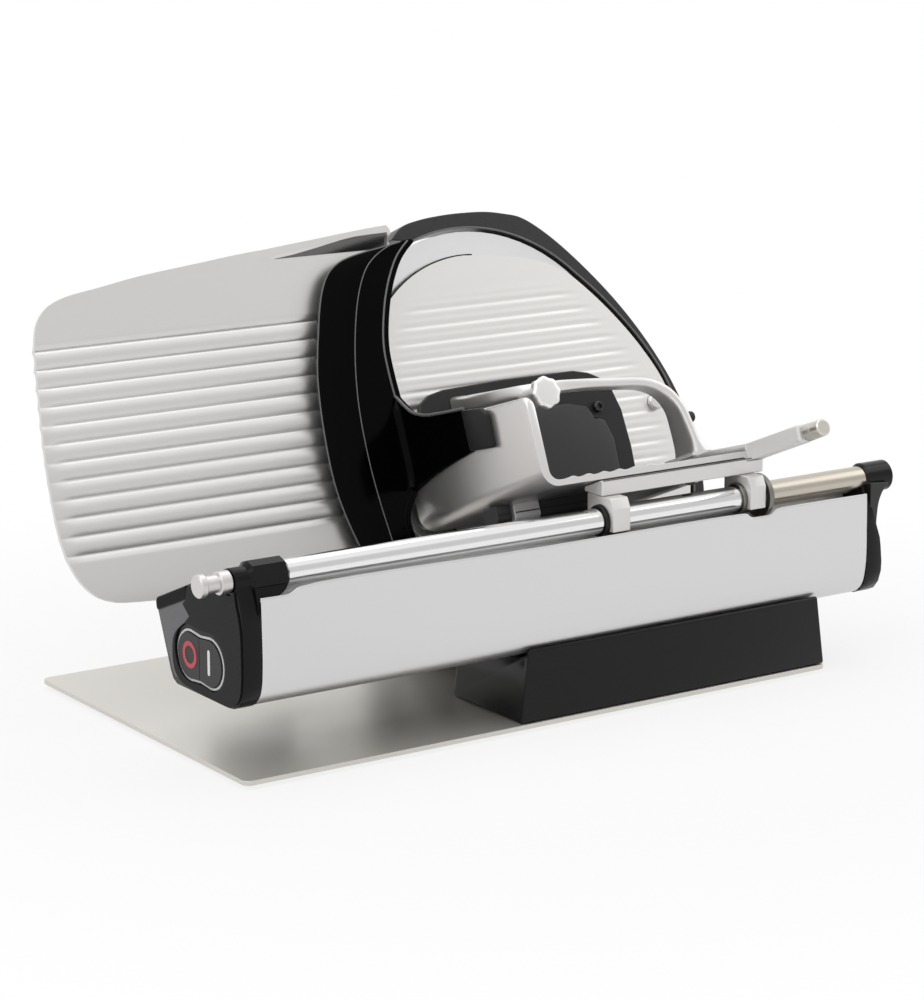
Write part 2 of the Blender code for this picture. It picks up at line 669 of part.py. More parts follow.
def make_front_panel():
    """A bent sheet: a bulged front that tucks under below and turns in beneath the rod above."""
    low = (BEAM_LEFT + PANEL_GAP) * MM
    high = (BEAM_RIGHT - PANEL_GAP) * MM
    origin = Vector(((low + high) / 2, 0.0, ROD_Z * MM))
    sheet = bmesh.new()
    verts = [sheet.verts.new(Vector((low, y * MM, z * MM)) - origin) for y, z in PANEL_PROFILE]
    for a, b in zip(verts, verts[1:]):
        sheet.edges.new((a, b))
    swept = bmesh.ops.extrude_edge_only(sheet, edges=sheet.edges[:])
    moved = [g for g in swept["geom"] if isinstance(g, bmesh.types.BMVert)]
    bmesh.ops.translate(sheet, verts=moved, vec=(high - low, 0.0, 0.0))
    bmesh.ops.recalc_face_normals(sheet, faces=sheet.faces)
    mesh = bpy.data.meshes.new("front_panel")
    if sum(face.normal.y for face in sheet.faces) > 0:
        bmesh.ops.reverse_faces(sheet, faces=sheet.faces[:])
    sheet.to_mesh(mesh)
    sheet.free()
    obj = finish(bpy.data.objects.new("front_panel", mesh), "panel")
    obj.location = world(0.0, 0.0, 0.0) + origin
    solid = obj.modifiers.new("thickness", "SOLIDIFY")
    solid.thickness = PANEL_T * MM
    solid.offset = -1.0
    round_off(obj)
    return obj


def cap_outline():
    head = arc((ROD_Y, ROD_Z), CAP_HEAD_R, CAP_HEAD_FROM, CAP_HEAD_TO, 9)
    return CAP_OUTLINE + head + CAP_FRONT


def lobes(center, reach, radius, waist, count):
    """A peanut: two lobes side by side along y, joined by a shallow waist."""
    y, z = center
    sweep = 128.0
    left = arc((y - reach, z), radius, 180 - sweep / 2 - 26, 180 + sweep / 2 + 26, count)
    right = arc((y + reach, z), radius, -sweep / 2 - 26, sweep / 2 + 26, count)
    low = [(y, z - waist + 1.2)]
    high = [(y, z + waist - 1.2)]
    return left + low + right + high


def make_operator_cap():
    right = BEAM_LEFT - SEAT
    body = slab("operator_cap", cap_outline(), "yz", LEFT_CAP_X, right, UPRIGHT, "black_gloss")
    soften(body, CAP_EDGE, 3, 60.0)
    round_off(body)
    axis = (0.0, ROD_Y, ROD_Z)
    sleeve = rod("operator_sleeve", SLEEVE_R, LEFT_SLEEVE_START, LEFT_SLEEVE_END, axis, "x", UPRIGHT,
                 edge=SLEEVE_EDGE, steps=SLEEVE_SIDES)
    fuse(body, sleeve)
    pocket = slab("operator_pocket", CAP_POCKET, "yz", CAP_FACE_T, right + 1.0, UPRIGHT)
    room = rod("gear_room", GEAR_ROOM_R, GEAR_ROOM_X, right + 0.6, axis, "x", UPRIGHT, steps=28)
    idler = rod("idler_room", IDLER_R + TOOTH_TOP + 0.6, CAP_FACE_T, right + 0.6, (0.0, *idler_center()), "x",
                UPRIGHT, steps=28)
    bore = rod("operator_bore", ROD_R + BORE_GAP, ROD_SEAT, LEFT_SLEEVE_END + 2.0, axis, "x", UPRIGHT)
    pilot = rod("knob_bore", KNOB_SHAFT_R + BORE_GAP, -3.0, ROD_SEAT + 1.0, axis, "x", UPRIGHT, steps=20)
    seat = lobes((SWITCH_Y, SWITCH_Z), LOBE_REACH, LOBE_R + BEZEL_OUT + SEAT, LOBE_R + BEZEL_OUT + SEAT, 14)
    recess = slab("switch_recess", seat, "yz", -2.0, BEZEL_T + SEAT, UPRIGHT)
    cut(body, pocket, room, idler, bore, pilot, recess)
    for side in (-1, 1):
        stem = rod("stem_hole", STEM_R + BORE_GAP, -2.0, CAP_FACE_T + 2.0,
                   (0.0, SWITCH_Y + side * LOBE_REACH, SWITCH_Z), "x", UPRIGHT, steps=20)
        cut(body, stem)
    pin = rod("idler_pin", IDLER_PIN_R, CAP_FACE_T - 1.0, right - 0.4, (0.0, *idler_center()), "x", UPRIGHT,
              steps=20)
    fuse(body, pin)
    return body


def make_far_cap():
    """The rod's other bracket: a waisted leg with a round sleeve on top."""
    left = BEAM_RIGHT + SEAT
    right = RIGHT_SLEEVE_END
    body = slab("far_cap", cap_outline(), "yz", left, right, UPRIGHT, "black_gloss")
    front = [(left - 1.0, FAR_CAP_FRONT[-1][1]), (left - 1.0, ROD_Z + 20.0), (FAR_CAP_FRONT[0][0], ROD_Z + 20.0)]
    keep = slab("far_keep", front + FAR_CAP_FRONT, "xz", -5.0, 110.0, UPRIGHT)
    combine(body, keep, "INTERSECT")
    soften(body, CAP_EDGE / 2, 2, 50.0)
    axis = (0.0, ROD_Y, ROD_Z)
    sleeve = rod("far_sleeve", RIGHT_SLEEVE_R, RIGHT_SLEEVE_START, RIGHT_SLEEVE_END, axis, "x", UPRIGHT,
                 edge=SLEEVE_EDGE / 2, steps=28)
    fuse(body, sleeve)
    pocket = slab("far_pocket", [p for p in CAP_POCKET if p[1] < 101.0] + [(6.0, 98.0)], "yz", left - 1.0,
                  left + FAR_CAP_DEEP, UPRIGHT)
    bore = rod("far_bore", ROD_R + BORE_GAP, left - 3.0, ROD_END + SEAT, axis, "x", UPRIGHT)
    cut(body, pocket, bore)
    return body


def make_slide_rod():
    return rod("slide_rod", ROD_R, ROD_START, ROD_END, (0.0, ROD_Y, ROD_Z), "x", UPRIGHT, "chrome",
               ROD_EDGE, 40)


def make_switch():
    outer = lobes((SWITCH_Y, SWITCH_Z), LOBE_REACH, LOBE_R + BEZEL_OUT, LOBE_R + BEZEL_OUT, 14)
    inner = lobes((SWITCH_Y, SWITCH_Z), LOBE_REACH, LOBE_R + SEAT, LOBE_R + SEAT, 14)
    bezel = slab("switch_bezel", outer, "yz", 0.0, BEZEL_T, UPRIGHT, "switch_rim")
    cut(bezel, slab("switch_window", inner, "yz", -3.0, BEZEL_T + 3.0, UPRIGHT))
    face = lobes((SWITCH_Y, SWITCH_Z), LOBE_REACH, LOBE_R, LOBE_R, 14)
    limits = {"start_button": (SWITCH_Y - 60.0, SWITCH_Y - BUTTON_SPLIT / 2),
              "stop_button": (SWITCH_Y + BUTTON_SPLIT / 2, SWITCH_Y + 60.0)}
    for name, (low, high) in limits.items():
        side = -1 if name == "start_button" else 1
        center = (0.0, SWITCH_Y + side * LOBE_REACH, SWITCH_Z)
        button = slab(name, face, "yz", -BUTTON_STAND, BUTTON_T - BUTTON_STAND - 0.4, UPRIGHT, name, center)
        keep = block(name + "_half", (-9.0, 9.0), (low, high), (SWITCH_Z - 40.0, SWITCH_Z + 40.0), UPRIGHT)
        combine(button, keep, "INTERSECT")
        stem = rod(name + "_stem", STEM_R, 0.2, BUTTON_STEM, center, "x", UPRIGHT, steps=20)
        fuse(button, stem)
        soften(button, 0.3, 1, 60.0)
    deep, tall, thick = SWITCH_BODY[0], SWITCH_BODY[1], SWITCH_BODY[2]
    back = CAP_FACE_T + SEAT
    block("switch_body", (back, back + thick), (SWITCH_Y - deep / 2, SWITCH_Y + deep / 2),
          (SWITCH_Z - tall / 2 + 1.0, SWITCH_Z + tall / 2 - 3.0), UPRIGHT, "black_matte")


def gear_outline(center, radius, teeth, turn=0.0):
    """Trapezoid teeth round a circle, in the yz plane."""
    points = []
    step = 2 * math.pi / teeth
    for i in range(teeth):
        a = i * step + turn
        for share, r in ((-0.25, radius - TOOTH_ROOT), (-TOOTH_SHARE / 2, radius + TOOTH_TOP),
                         (TOOTH_SHARE / 2, radius + TOOTH_TOP), (0.25, radius - TOOTH_ROOT)):
            t = a + share * step
            points.append((center[0] + r * math.cos(t), center[1] + r * math.sin(t)))
    return points


def idler_center():
    """The idler sits behind the knob's pinion and over the rack."""
    reach = PINION_R + IDLER_R + MESH_GAP
    return ROD_Y + reach * math.cos(MESH_ANGLE), ROD_Z + reach * math.sin(MESH_ANGLE)


def make_thickness_drive():
    axis = (KNOB_LEFT, ROD_Y, ROD_Z)
    head = KNOB_HEAD_T
    flange = KNOB_FLANGE_X - KNOB_LEFT
    end = -KNOB_GAP - KNOB_LEFT
    tip = KNOB_SHAFT_END - KNOB_LEFT
    profile = [(0, tip), (KNOB_SHAFT_R, tip), (KNOB_SHAFT_R, end), (KNOB_HEAD_R - 0.6, end),
               (KNOB_HEAD_R, end - 0.6), (KNOB_HEAD_R, flange + 0.6), (KNOB_HEAD_R - 0.6, flange),
               (KNOB_NECK_R, flange), (KNOB_NECK_R, head), (KNOB_HEAD_R - 0.8, head - 0.2),
               (KNOB_HEAD_R, head - 1.0), (KNOB_HEAD_R, 0.8), (KNOB_HEAD_R - 0.8, 0), (0, 0)]
    knob = turned("thickness_knob", profile, axis, "x", UPRIGHT, "knob_silver", steps=32)
    knob.name = "thickness_knob"
    pinion = slab("knob_pinion", gear_outline((ROD_Y, ROD_Z), PINION_R, PINION_TEETH, MESH_ANGLE), "yz", GEAR_X,
                  GEAR_X + GEAR_T, UPRIGHT)
    fuse(knob, pinion)
    center = idler_center()
    teeth = gear_outline(center, IDLER_R, IDLER_TEETH, MESH_ANGLE + math.pi + math.pi / IDLER_TEETH)
    idler = slab("idler_gear", teeth, "yz", GEAR_X, GEAR_X + GEAR_T, UPRIGHT, "black_matte",
                 (GEAR_X + GEAR_T / 2, *center))
    cut(idler, rod("idler_bore", IDLER_PIN_R + BORE_GAP, 0.0, 20.0, (0.0, *center), "x", UPRIGHT, steps=20))


def rack_outline():
    """A bar with teeth along its upper edge, in the leaning (d, s)."""
    center = to_lean(*idler_center())
    line = center[1] - IDLER_R - MESH_GAP
    pitch = 2 * math.pi * IDLER_R / IDLER_TEETH
    first = math.ceil((RACK_FRONT_D - center[0]) / pitch) + 0.5
    points = [(RACK_FRONT_D, RACK_S_LOW), (RACK_FRONT_D, line - TOOTH_ROOT)]
    for i in range(RACK_TEETH):
        a = center[0] + (first + i) * pitch
        points += [(a - 0.25 * pitch, line - TOOTH_ROOT), (a - TOOTH_SHARE / 2 * pitch, line + TOOTH_TOP),
                   (a + TOOTH_SHARE / 2 * pitch, line + TOOTH_TOP), (a + 0.25 * pitch, line - TOOTH_ROOT)]
    points += [(RACK_BACK_D, line - TOOTH_ROOT), (RACK_BACK_D, RACK_S_LOW)]
    return points


def make_thickness_link():
    """The rack in the end cap, and the cross bar inside the beam that pushes both guide shafts."""
    link = slab("thickness_link", rack_outline(), "yz", GEAR_X, GEAR_X + GEAR_T, LEAN, "cast_grey",
                (GEAR_X, RACK_BACK_D, SHAFT_S))
    bar = block("link_bar", (GEAR_X + 0.2, LINK_RIGHT), (RACK_BACK_D - LINK_T, RACK_BACK_D - 0.2),
                (RACK_S_LOW - 4.0, LINK_S_HIGH), LEAN)
    fuse(link, bar)
    return link


def make_gauge_guide():
    guide = block("gauge_guide", GUIDE_X, GUIDE_D, GUIDE_S, LEAN, "cast_grey")
    soften(guide, 2.0)
    for x in SHAFT_XS:
        bore = rod("guide_bore", SHAFT_R + SHAFT_CLEAR, -60.0, 60.0, (x, GUIDE_D[0], SHAFT_S), "in", LEAN,
                   steps=24)
        cut(guide, bore)
    return guide


def make_gauge_carrier():
    """A ribbed bracket behind the gauge plate on two guide shafts that run through the beam's back."""
    outline = [(CARRIER_X[0], CARRIER_S[0]), (CARRIER_X[1], CARRIER_S[0]), (CARRIER_X[1] - 6, 20.0),
               (CARRIER_X[1] - 16, CARRIER_S[1]), (CARRIER_X[0] + 16, CARRIER_S[1]), (CARRIER_X[0] + 6, 20.0)]
    web = slab("gauge_carrier", outline, "xz", CARRIER_D[0], CARRIER_D[1], LEAN, "cast_grey")
    soften(web, 1.6)
    mid = (CARRIER_X[0] + CARRIER_X[1]) / 2
    rib = slab("carrier_rib", [(CARRIER_D[0] + 2, CARRIER_S[0] + 4), (CARRIER_D[1] + CARRIER_RIB, -20.0),
                               (CARRIER_D[1] + CARRIER_RIB, 30.0), (CARRIER_D[0] + 2, CARRIER_S[1] - 8)],
               "yz", mid - 3, mid + 3, LEAN)
    fuse(web, rib)
    for x in SHAFT_XS:
        shaft = rod("guide_shaft", SHAFT_R, RACK_BACK_D + SEAT, CARRIER_D[1] - 1.0, (x, 0.0, SHAFT_S), "in",
                    LEAN, steps=24)
        fuse(web, shaft)
    return web


def ribbed_sheet(name, chain, xs, thickness, look):
    """Extrude a wavy chain of (d, s) along X into a sheet and give it its thickness."""
    sheet = bmesh.new()
    origin = Vector(((xs[0] + xs[1]) / 2, 0.0, BLADE_S))
    verts = [sheet.verts.new((Vector((xs[0], d, s)) - origin) * MM) for d, s in chain]
    for a, b in zip(verts, verts[1:]):
        sheet.edges.new((a, b))
    swept = bmesh.ops.extrude_edge_only(sheet, edges=sheet.edges[:])
    moved = [g for g in swept["geom"] if isinstance(g, bmesh.types.BMVert)]
    bmesh.ops.translate(sheet, verts=moved, vec=((xs[1] - xs[0]) * MM, 0.0, 0.0))
    bmesh.ops.recalc_face_normals(sheet, faces=sheet.faces)
    if sum(f.normal.y for f in sheet.faces) > 0:
        bmesh.ops.reverse_faces(sheet, faces=sheet.faces[:])
    mesh = bpy.data.meshes.new(name)
    sheet.to_mesh(mesh)
    sheet.free()
    obj = finish(bpy.data.objects.new(name, mesh), look)
    place(obj, LEAN, origin)
    solid = obj.modifiers.new("thickness", "SOLIDIFY")
    solid.thickness = thickness * MM
    solid.offset = -1.0
    return obj


def ribs(first, pitch, count, deep, front, low, high):
    """A chain of (d, s) whose face dips once in each pitch, between plain runs."""
    chain = [(front, low)]
    for i in range(count):
        s = first + i * pitch
        chain += [(front, s - 0.40 * pitch), (front + 0.55 * deep, s - 0.22 * pitch), (front + deep, s),
                  (front + 0.55 * deep, s + 0.22 * pitch)]
    chain += [(front, first + (count - 0.6) * pitch), (front, high)]
    return chain


def make_gauge_plate():
    low = min(p[1] for p in GAUGE_OUTLINE) - SHEET_SPARE
    high = max(p[1] for p in GAUGE_OUTLINE) + SHEET_SPARE
    sides = (min(p[0] for p in GAUGE_OUTLINE) - SHEET_SPARE, max(p[0] for p in GAUGE_OUTLINE) + SHEET_SPARE)
    chain = ribs(GAUGE_RIB_FIRST, GAUGE_RIB_PITCH, GAUGE_RIBS, GAUGE_RIB_DEEP, 0.0, low, high)
    plate = ribbed_sheet("gauge_plate", chain, sides, GAUGE_T, "gauge")
    edge = arc((BLADE_X, BLADE_S), BLADE_R + GAUGE_CLEAR, GAUGE_ARC[0], GAUGE_ARC[1], 18)
    outline = GAUGE_OUTLINE[1:] + edge
    keep = slab("gauge_keep", outline, "xz", -9.0, 12.0, LEAN)
    combine(plate, keep, "INTERSECT")
    return plate


def cover_outline():
    round_side = arc((BLADE_X, BLADE_S), COVER_R, COVER_ARC[0], COVER_ARC[1], 26)
    return round_side + list(reversed(COVER_EDGE))


def make_blade_cover():
    outline = cover_outline()
    low = min(p[1] for p in outline) - 4.0
    high = max(p[1] for p in outline) + 4.0
    chain = ribs(COVER_RIB_FIRST, COVER_RIB_PITCH, COVER_RIBS, COVER_RIB_DEEP, COVER_D, low, high)
    sides = (min(p[0] for p in outline) - SHEET_SPARE, max(p[0] for p in outline) + SHEET_SPARE)
    plate = ribbed_sheet("blade_cover", chain, sides, COVER_T, "cover")
    keep = slab("cover_keep", outline, "xz", -9.0, 6.0, LEAN)
    combine(plate, keep, "INTERSECT")
    cut(plate, rod("cover_hole", COVER_SHANK_R + BORE_GAP, -8.0, 8.0, (POST_X, 0.0, POST_S), "in", LEAN,
                   steps=20))
    profile = [(0, COVER_SHANK_L), (COVER_SHANK_R, COVER_SHANK_L), (COVER_SHANK_R, 0), (COVER_HEAD_R, 0),
               (COVER_HEAD_R, 0.8 - COVER_HEAD_T), (COVER_HEAD_R - 1.0, -COVER_HEAD_T), (0, -COVER_HEAD_T)]
    turned("cover_knob", profile, (POST_X, COVER_D - SEAT, POST_S), "in", LEAN, "knob_silver", steps=24)


def ring_outline():
    low = arc((BLADE_X, BLADE_S), RING_INNER_R, RING_ARC_LOW[0], RING_ARC_LOW[1], 8)
    high = arc((BLADE_X, BLADE_S), RING_INNER_R, RING_ARC_HIGH[0], RING_ARC_HIGH[1], 14)
    return RING_OUTER + low + RING_INNER_SIDE + high


def make_ring_guard():
    guard = slab("ring_guard", ring_outline(), "xz", RING_D[0], RING_D[1], LEAN, "black_gloss")
    soften(guard, RING_EDGE, 2, 60.0)
    round_off(guard)
    return guard


def make_blade_frame():
    frame = slab("blade_frame", FRAME_OUTLINE, "xz", FRAME_D[0], FRAME_D[1], LEAN, "cast_grey")
    soften(frame, 1.0, 1, 60.0)
    post = rod("cover_post", POST_R, -0.2, FRAME_D[0] + 2.0, (POST_X, 0.0, POST_S), "in", LEAN, steps=24)
    fuse(frame, post)
    thread = rod("post_thread", COVER_SHANK_R + BORE_GAP, -5.0, COVER_SHANK_L + 1.0, (POST_X, 0.0, POST_S),
                 "in", LEAN, steps=20)
    axle_hole = rod("axle_hole", AXLE_R + BORE_GAP, 0.0, 40.0, (BLADE_X, 0.0, BLADE_S), "in", LEAN, steps=28)
    shaft_hole = rod("shaft_hole", MOTOR_SHAFT_R + 1.0, 0.0, 40.0, (BLADE_X, 0.0, MOTOR_S), "in", LEAN,
                     steps=24)
    cut(frame, thread, axle_hole, shaft_hole)
    return frame


def make_bridge():
    """A ribbed casting that carries the blade frame from the beam's back."""
    bridge = block("bridge", BRIDGE_X, BRIDGE_D, BRIDGE_S, LEAN, "cast_grey")
    soften(bridge, 1.5, 1)
    step = (BRIDGE_X[1] - BRIDGE_X[0] - BRIDGE_WALL) / BRIDGE_POCKETS
    for i in range(BRIDGE_POCKETS):
        left = BRIDGE_X[0] + BRIDGE_WALL + i * step
        room = block("bridge_room", (left, left + step - BRIDGE_WALL), (BRIDGE_D[0] + 5, BRIDGE_D[1] - 5),
                     (BRIDGE_S[0] - 5, BRIDGE_S[1] - BRIDGE_WALL), LEAN)
        cut(bridge, room)
    return bridge


def make_blade():
    t = BLADE_T
    profile = [(BLADE_BORE, t), (60.0, t), (BLADE_R - 6.0, t - 1.0), (BLADE_R, 0.4), (BLADE_R, 0.0),
               (BLADE_R - 9.0, 0.5), (60.0, 1.2), (BLADE_BORE, 1.2)]
    return turned("blade", profile, (BLADE_X, 0.0, BLADE_S), "in", LEAN, "blade", True, BLADE_STEPS)


def make_blade_drive():
    at = (BLADE_X, 0.0, BLADE_S)
    front, back = PULLEY_D
    bore = BEARING_OUT + BORE_GAP
    profile = [(bore, back), (PULLEY_R - 1, back), (PULLEY_R, back - 1), (PULLEY_R, front + 1),
               (PULLEY_R - 1, front), (SPIGOT_R, front), (SPIGOT_R, SPIGOT_D), (bore, SPIGOT_D)]
    turned("blade_pulley", profile, at, "in", LEAN, "cast_grey", True, 40)
    for name, d in zip(("front_bearing", "rear_bearing"), BEARING_DS):
        profile = [(BEARING_IN, d + BEARING_W), (BEARING_OUT, d + BEARING_W), (BEARING_OUT, d), (BEARING_IN, d)]
        turned(name, profile, at, "in", LEAN, "steel", True, 28)
    head = FRAME_D[1] + SEAT
    profile = [(0, head + AXLE_HEAD_T), (AXLE_HEAD_R, head + AXLE_HEAD_T), (AXLE_HEAD_R, head),
               (AXLE_R, head), (AXLE_R, SPIGOT_D + 0.6), (AXLE_R - 0.6, SPIGOT_D), (0, SPIGOT_D)]
    turned("blade_axle", profile, at, "in", LEAN, "steel", steps=28)


def make_motor():
    at = (BLADE_X, 0.0, MOTOR_S)
    front, back = MOTOR_D
    profile = [(0, back), (MOTOR_R - 12, back), (MOTOR_R - 8, back - 3), (MOTOR_R - 2, back - 5),
               (MOTOR_R, back - 8), (MOTOR_R, front + 8), (MOTOR_R - 2, front + 5), (MOTOR_NOSE_R, front + 3),
               (MOTOR_NOSE_R, front), (0, front)]
    turned("motor", profile, at, "in", LEAN, "motor", steps=36)
    low, high = BELT_D[0] - 0.6, BELT_D[1] + 0.6
    end = front - SEAT
    profile = [(0, end), (MOTOR_SHAFT_R, end), (MOTOR_SHAFT_R, high), (MOTOR_PULLEY_R, high),
               (MOTOR_PULLEY_R, low), (0, low)]
    turned("motor_pulley", profile, at, "in", LEAN, "steel", steps=28)


def belt_loop(offset, count):
    """The belt's path round both pulleys, standing off their faces by an offset."""
    span = BLADE_S - MOTOR_S
    lean_angle = math.degrees(math.asin((PULLEY_R - MOTOR_PULLEY_R) / span))
    upper = arc((BLADE_X, BLADE_S), PULLEY_R + offset, -lean_angle, 180 + lean_angle, count)
    lower = arc((BLADE_X, MOTOR_S), MOTOR_PULLEY_R + offset, 180 + lean_angle, 360 - lean_angle, count // 2)
    return upper + lower


def make_belt():
    belt = slab("drive_belt", belt_loop(SEAT + BELT_T, 24), "xz", BELT_D[0], BELT_D[1], LEAN, "rubber")
    room = slab("belt_room", belt_loop(SEAT, 24), "xz", BELT_D[0] - 4, BELT_D[1] + 4, LEAN)
    cut(belt, room)
    return belt


def make_drive_cover():
    """A moulded housing behind the blade frame, open in front, with cooling slots at the back."""
    top = to_upright(COVER_BOX_D, COVER_BOX_S[1])
    low = to_upright(COVER_BOX_D, COVER_BOX_S[0])
    outline = [low, (COVER_BOX_BACK, COVER_BOX_BOTTOM), (COVER_BOX_BACK, COVER_BOX_SHOULDER), top]
    cover = slab("drive_cover", outline, "yz", COVER_BOX_X[0], COVER_BOX_X[1], UPRIGHT, "black_matte")
    soften(cover, COVER_BOX_EDGE, 3, 30.0)
    wall = COVER_BOX_WALL
    inner_top = to_upright(COVER_BOX_D - 6, COVER_BOX_S[1] - wall - 3)
    inner_low = to_upright(COVER_BOX_D - 6, COVER_BOX_S[0] + wall + 3)
    back = COVER_BOX_BACK - wall
    room = slab("cover_room", [(inner_low[0], COVER_BOX_BOTTOM + wall), (back, COVER_BOX_BOTTOM + wall),
                               (back, COVER_BOX_SHOULDER - 4), inner_top], "yz", COVER_BOX_X[0] + wall,
                COVER_BOX_X[1] - wall, UPRIGHT)
    cut(cover, room)
    start = BLADE_X - (VENTS - 1) / 2 * VENT_PITCH
    for i in range(VENTS):
        x = start + i * VENT_PITCH
        slot = block("vent", (x - VENT_W / 2, x + VENT_W / 2), (back - 5, back + 12), VENT_Z, UPRIGHT)
        cut(cover, slot)
    stand = block("rear_stand", STAND_X, STAND_Y, (BASE_T + SEAT, COVER_BOX_BOTTOM - SEAT), UPRIGHT,
                  "black_matte")
    soften(stand, 1.5)
    return cover


def make_deflector():
    """A thin curved plate behind the blade that turns the slices down."""
    inner = offset_chain(DEFLECTOR_PATH, DEFLECTOR_T)
    outline = DEFLECTOR_PATH + list(reversed(inner))
    plate = slab("slice_deflector", outline, "xy", DEFLECTOR_S[0], DEFLECTOR_S[1], LEAN, "steel")
    for s in LUG_SS:
        lug = block("deflector_lug", LUG_X, (COVER_BOX_D - 0.1, COVER_BOX_D + 3.0), (s, s + LUG_H), LEAN)
        fuse(plate, lug)
    return plate


def tray_outline():
    """Section of the tray across its slope: side wall, ribbed floor and the pusher's trough."""
    x0, low = TRAY_X, FLOOR_LOW
    outer = arc((x0 + CORNER_OUT, low + CORNER_OUT), CORNER_OUT, 180, 270, 7)
    inner = arc((x0 + WALL_T + CORNER_IN, FLOOR_TOP + CORNER_IN), CORNER_IN, 270, 180, 6)
    left = RAIL_X - RAIL_ROOM - RAIL_WALL
    right = RAIL_X + RAIL_ROOM + RAIL_WALL
    under = [(left - 3.0, low), (left - 0.6, RAIL_LOW), (right, RAIL_LOW), (right, RAIL_TOP),
             (right - RAIL_WALL, RAIL_TOP), (right - RAIL_WALL, RAIL_LOW + RAIL_WALL - 0.4),
             (left + RAIL_WALL, RAIL_LOW + RAIL_WALL - 0.4), (left + RAIL_WALL, RAIL_TOP), (left, RAIL_TOP),
             (left - 0.6, FLOOR_TOP)]
    floor = []
    for i in reversed(range(FLOOR_RIBS)):
        x = FLOOR_RIB_FROM + i * FLOOR_RIB_PITCH
        floor += [(x + 4.4, FLOOR_TOP), (x + 2.2, FLOOR_TOP + FLOOR_RIB), (x - 2.2, FLOOR_TOP + FLOOR_RIB),
                  (x - 4.4, FLOOR_TOP)]
    return [(x0, WALL_TOP)] + outer + under + floor + inner + [(x0 + WALL_T, WALL_TOP)]


def make_tray():
    """One casting: tray, side wall, the trough for the pusher's hub, and the arm that ends in a boss."""
    tray = slab("tray", tray_outline(), "xz", TRAY_D[0], TRAY_D[1], LEAN, "cast_silver")
    round_off(tray)
    trim = slab("wall_trim", WALL_CUT, "yz", TRAY_X - 9, TRAY_X + 20, LEAN)
    fall = [(TRAY_D[0] - 5.0, ARM_TOP), (TRAY_D[0], ARM_TOP), (RAIL_FALL_D, RAIL_TOP), (RAIL_FALL_D, 20.0),
            (TRAY_D[0] - 5.0, 20.0)]
    cut(tray, trim, slab("trough_fall", fall, "yz", RAIL_X - 12.0, RAIL_X + 12.0, LEAN))
    left = RAIL_X - RAIL_ROOM - RAIL_WALL + 0.2
    right = RAIL_X + RAIL_ROOM + RAIL_WALL - 0.2
    low = RAIL_LOW + 0.2
    trough = [(left, low), (right, low), (right, ARM_TOP), (right - RAIL_WALL, ARM_TOP),
              (right - RAIL_WALL, low + RAIL_WALL - 0.3), (left + RAIL_WALL, low + RAIL_WALL - 0.3),
              (left + RAIL_WALL, ARM_TOP), (left, ARM_TOP)]
    arm = slab("tray_arm", trough, "xz", ARM_D + 2.0, TRAY_D[0] + 3.0, LEAN)
    boss = block("arm_boss", (left - 0.3, right + 0.3), (ARM_D, ARM_D + ARM_BOSS), (low - 0.3, ARM_TOP + 0.3),
                 LEAN)
    soften(boss, 1.6)
    lug = block("rail_lug", (left + 1.0, right - 1.0), RAIL_LUG_D, (low + 1.0, RAIL_TOP - 1.0), LEAN)
    fuse(tray, arm, boss, lug)
    bore = rod("rail_bore", RAIL_R + RAIL_CLEAR, ARM_D - 5, RAIL_LUG_D[1] - 1.6, (RAIL_X, 0.0, RAIL_S), "in",
               LEAN, steps=24)
    cut(tray, bore)
    return tray


def make_carriage_bar():
    bar = slab("carriage_bar", BAR_OUTLINE, "yz", BAR_X[0], BAR_X[1], UPRIGHT, "cast_silver")
    soften(bar, 0.5, 1)
    notch = block("bar_notch", (BAR_NOTCH_X, BAR_X[1] + 5), (-170.0, -90.0), (RAIL_LOW - 0.5, 12.0), LEAN)
    cut(bar, notch)
    for name, xs, bush_xs in zip(("left", "right"), CLAMP_XS, BUSH_XS):
        clamp = slab("clamp_" + name, CLAMP_OUTLINE, "yz", xs[0], xs[1], UPRIGHT, "cast_silver")
        soften(clamp, CLAMP_EDGE)
        bore = rod("clamp_bore", BUSH_R + BORE_GAP, xs[0] - 5, xs[1] + 5, (0.0, ROD_Y, ROD_Z), "x", UPRIGHT,
                   steps=36)
        cut(clamp, bore)
        inner = ROD_R + BORE_GAP
        if name == "left":
            tube("bush_left", BUSH_R, inner, bush_xs[0], bush_xs[1], (0.0, ROD_Y, ROD_Z), "x", UPRIGHT,
                 "black_matte", 36)
        else:
            profile = [(inner, BUSH_RING_X), (BUSH_RING_R - 1, BUSH_RING_X), (BUSH_RING_R, BUSH_RING_X - 1),
                       (BUSH_RING_R, bush_xs[1] - 1), (BUSH_R, bush_xs[1] - 1), (BUSH_R, bush_xs[0]),
                       (inner, bush_xs[0])]
            turned("bush_right", profile, (0.0, ROD_Y, ROD_Z), "x", UPRIGHT, "black_matte", True, 36)


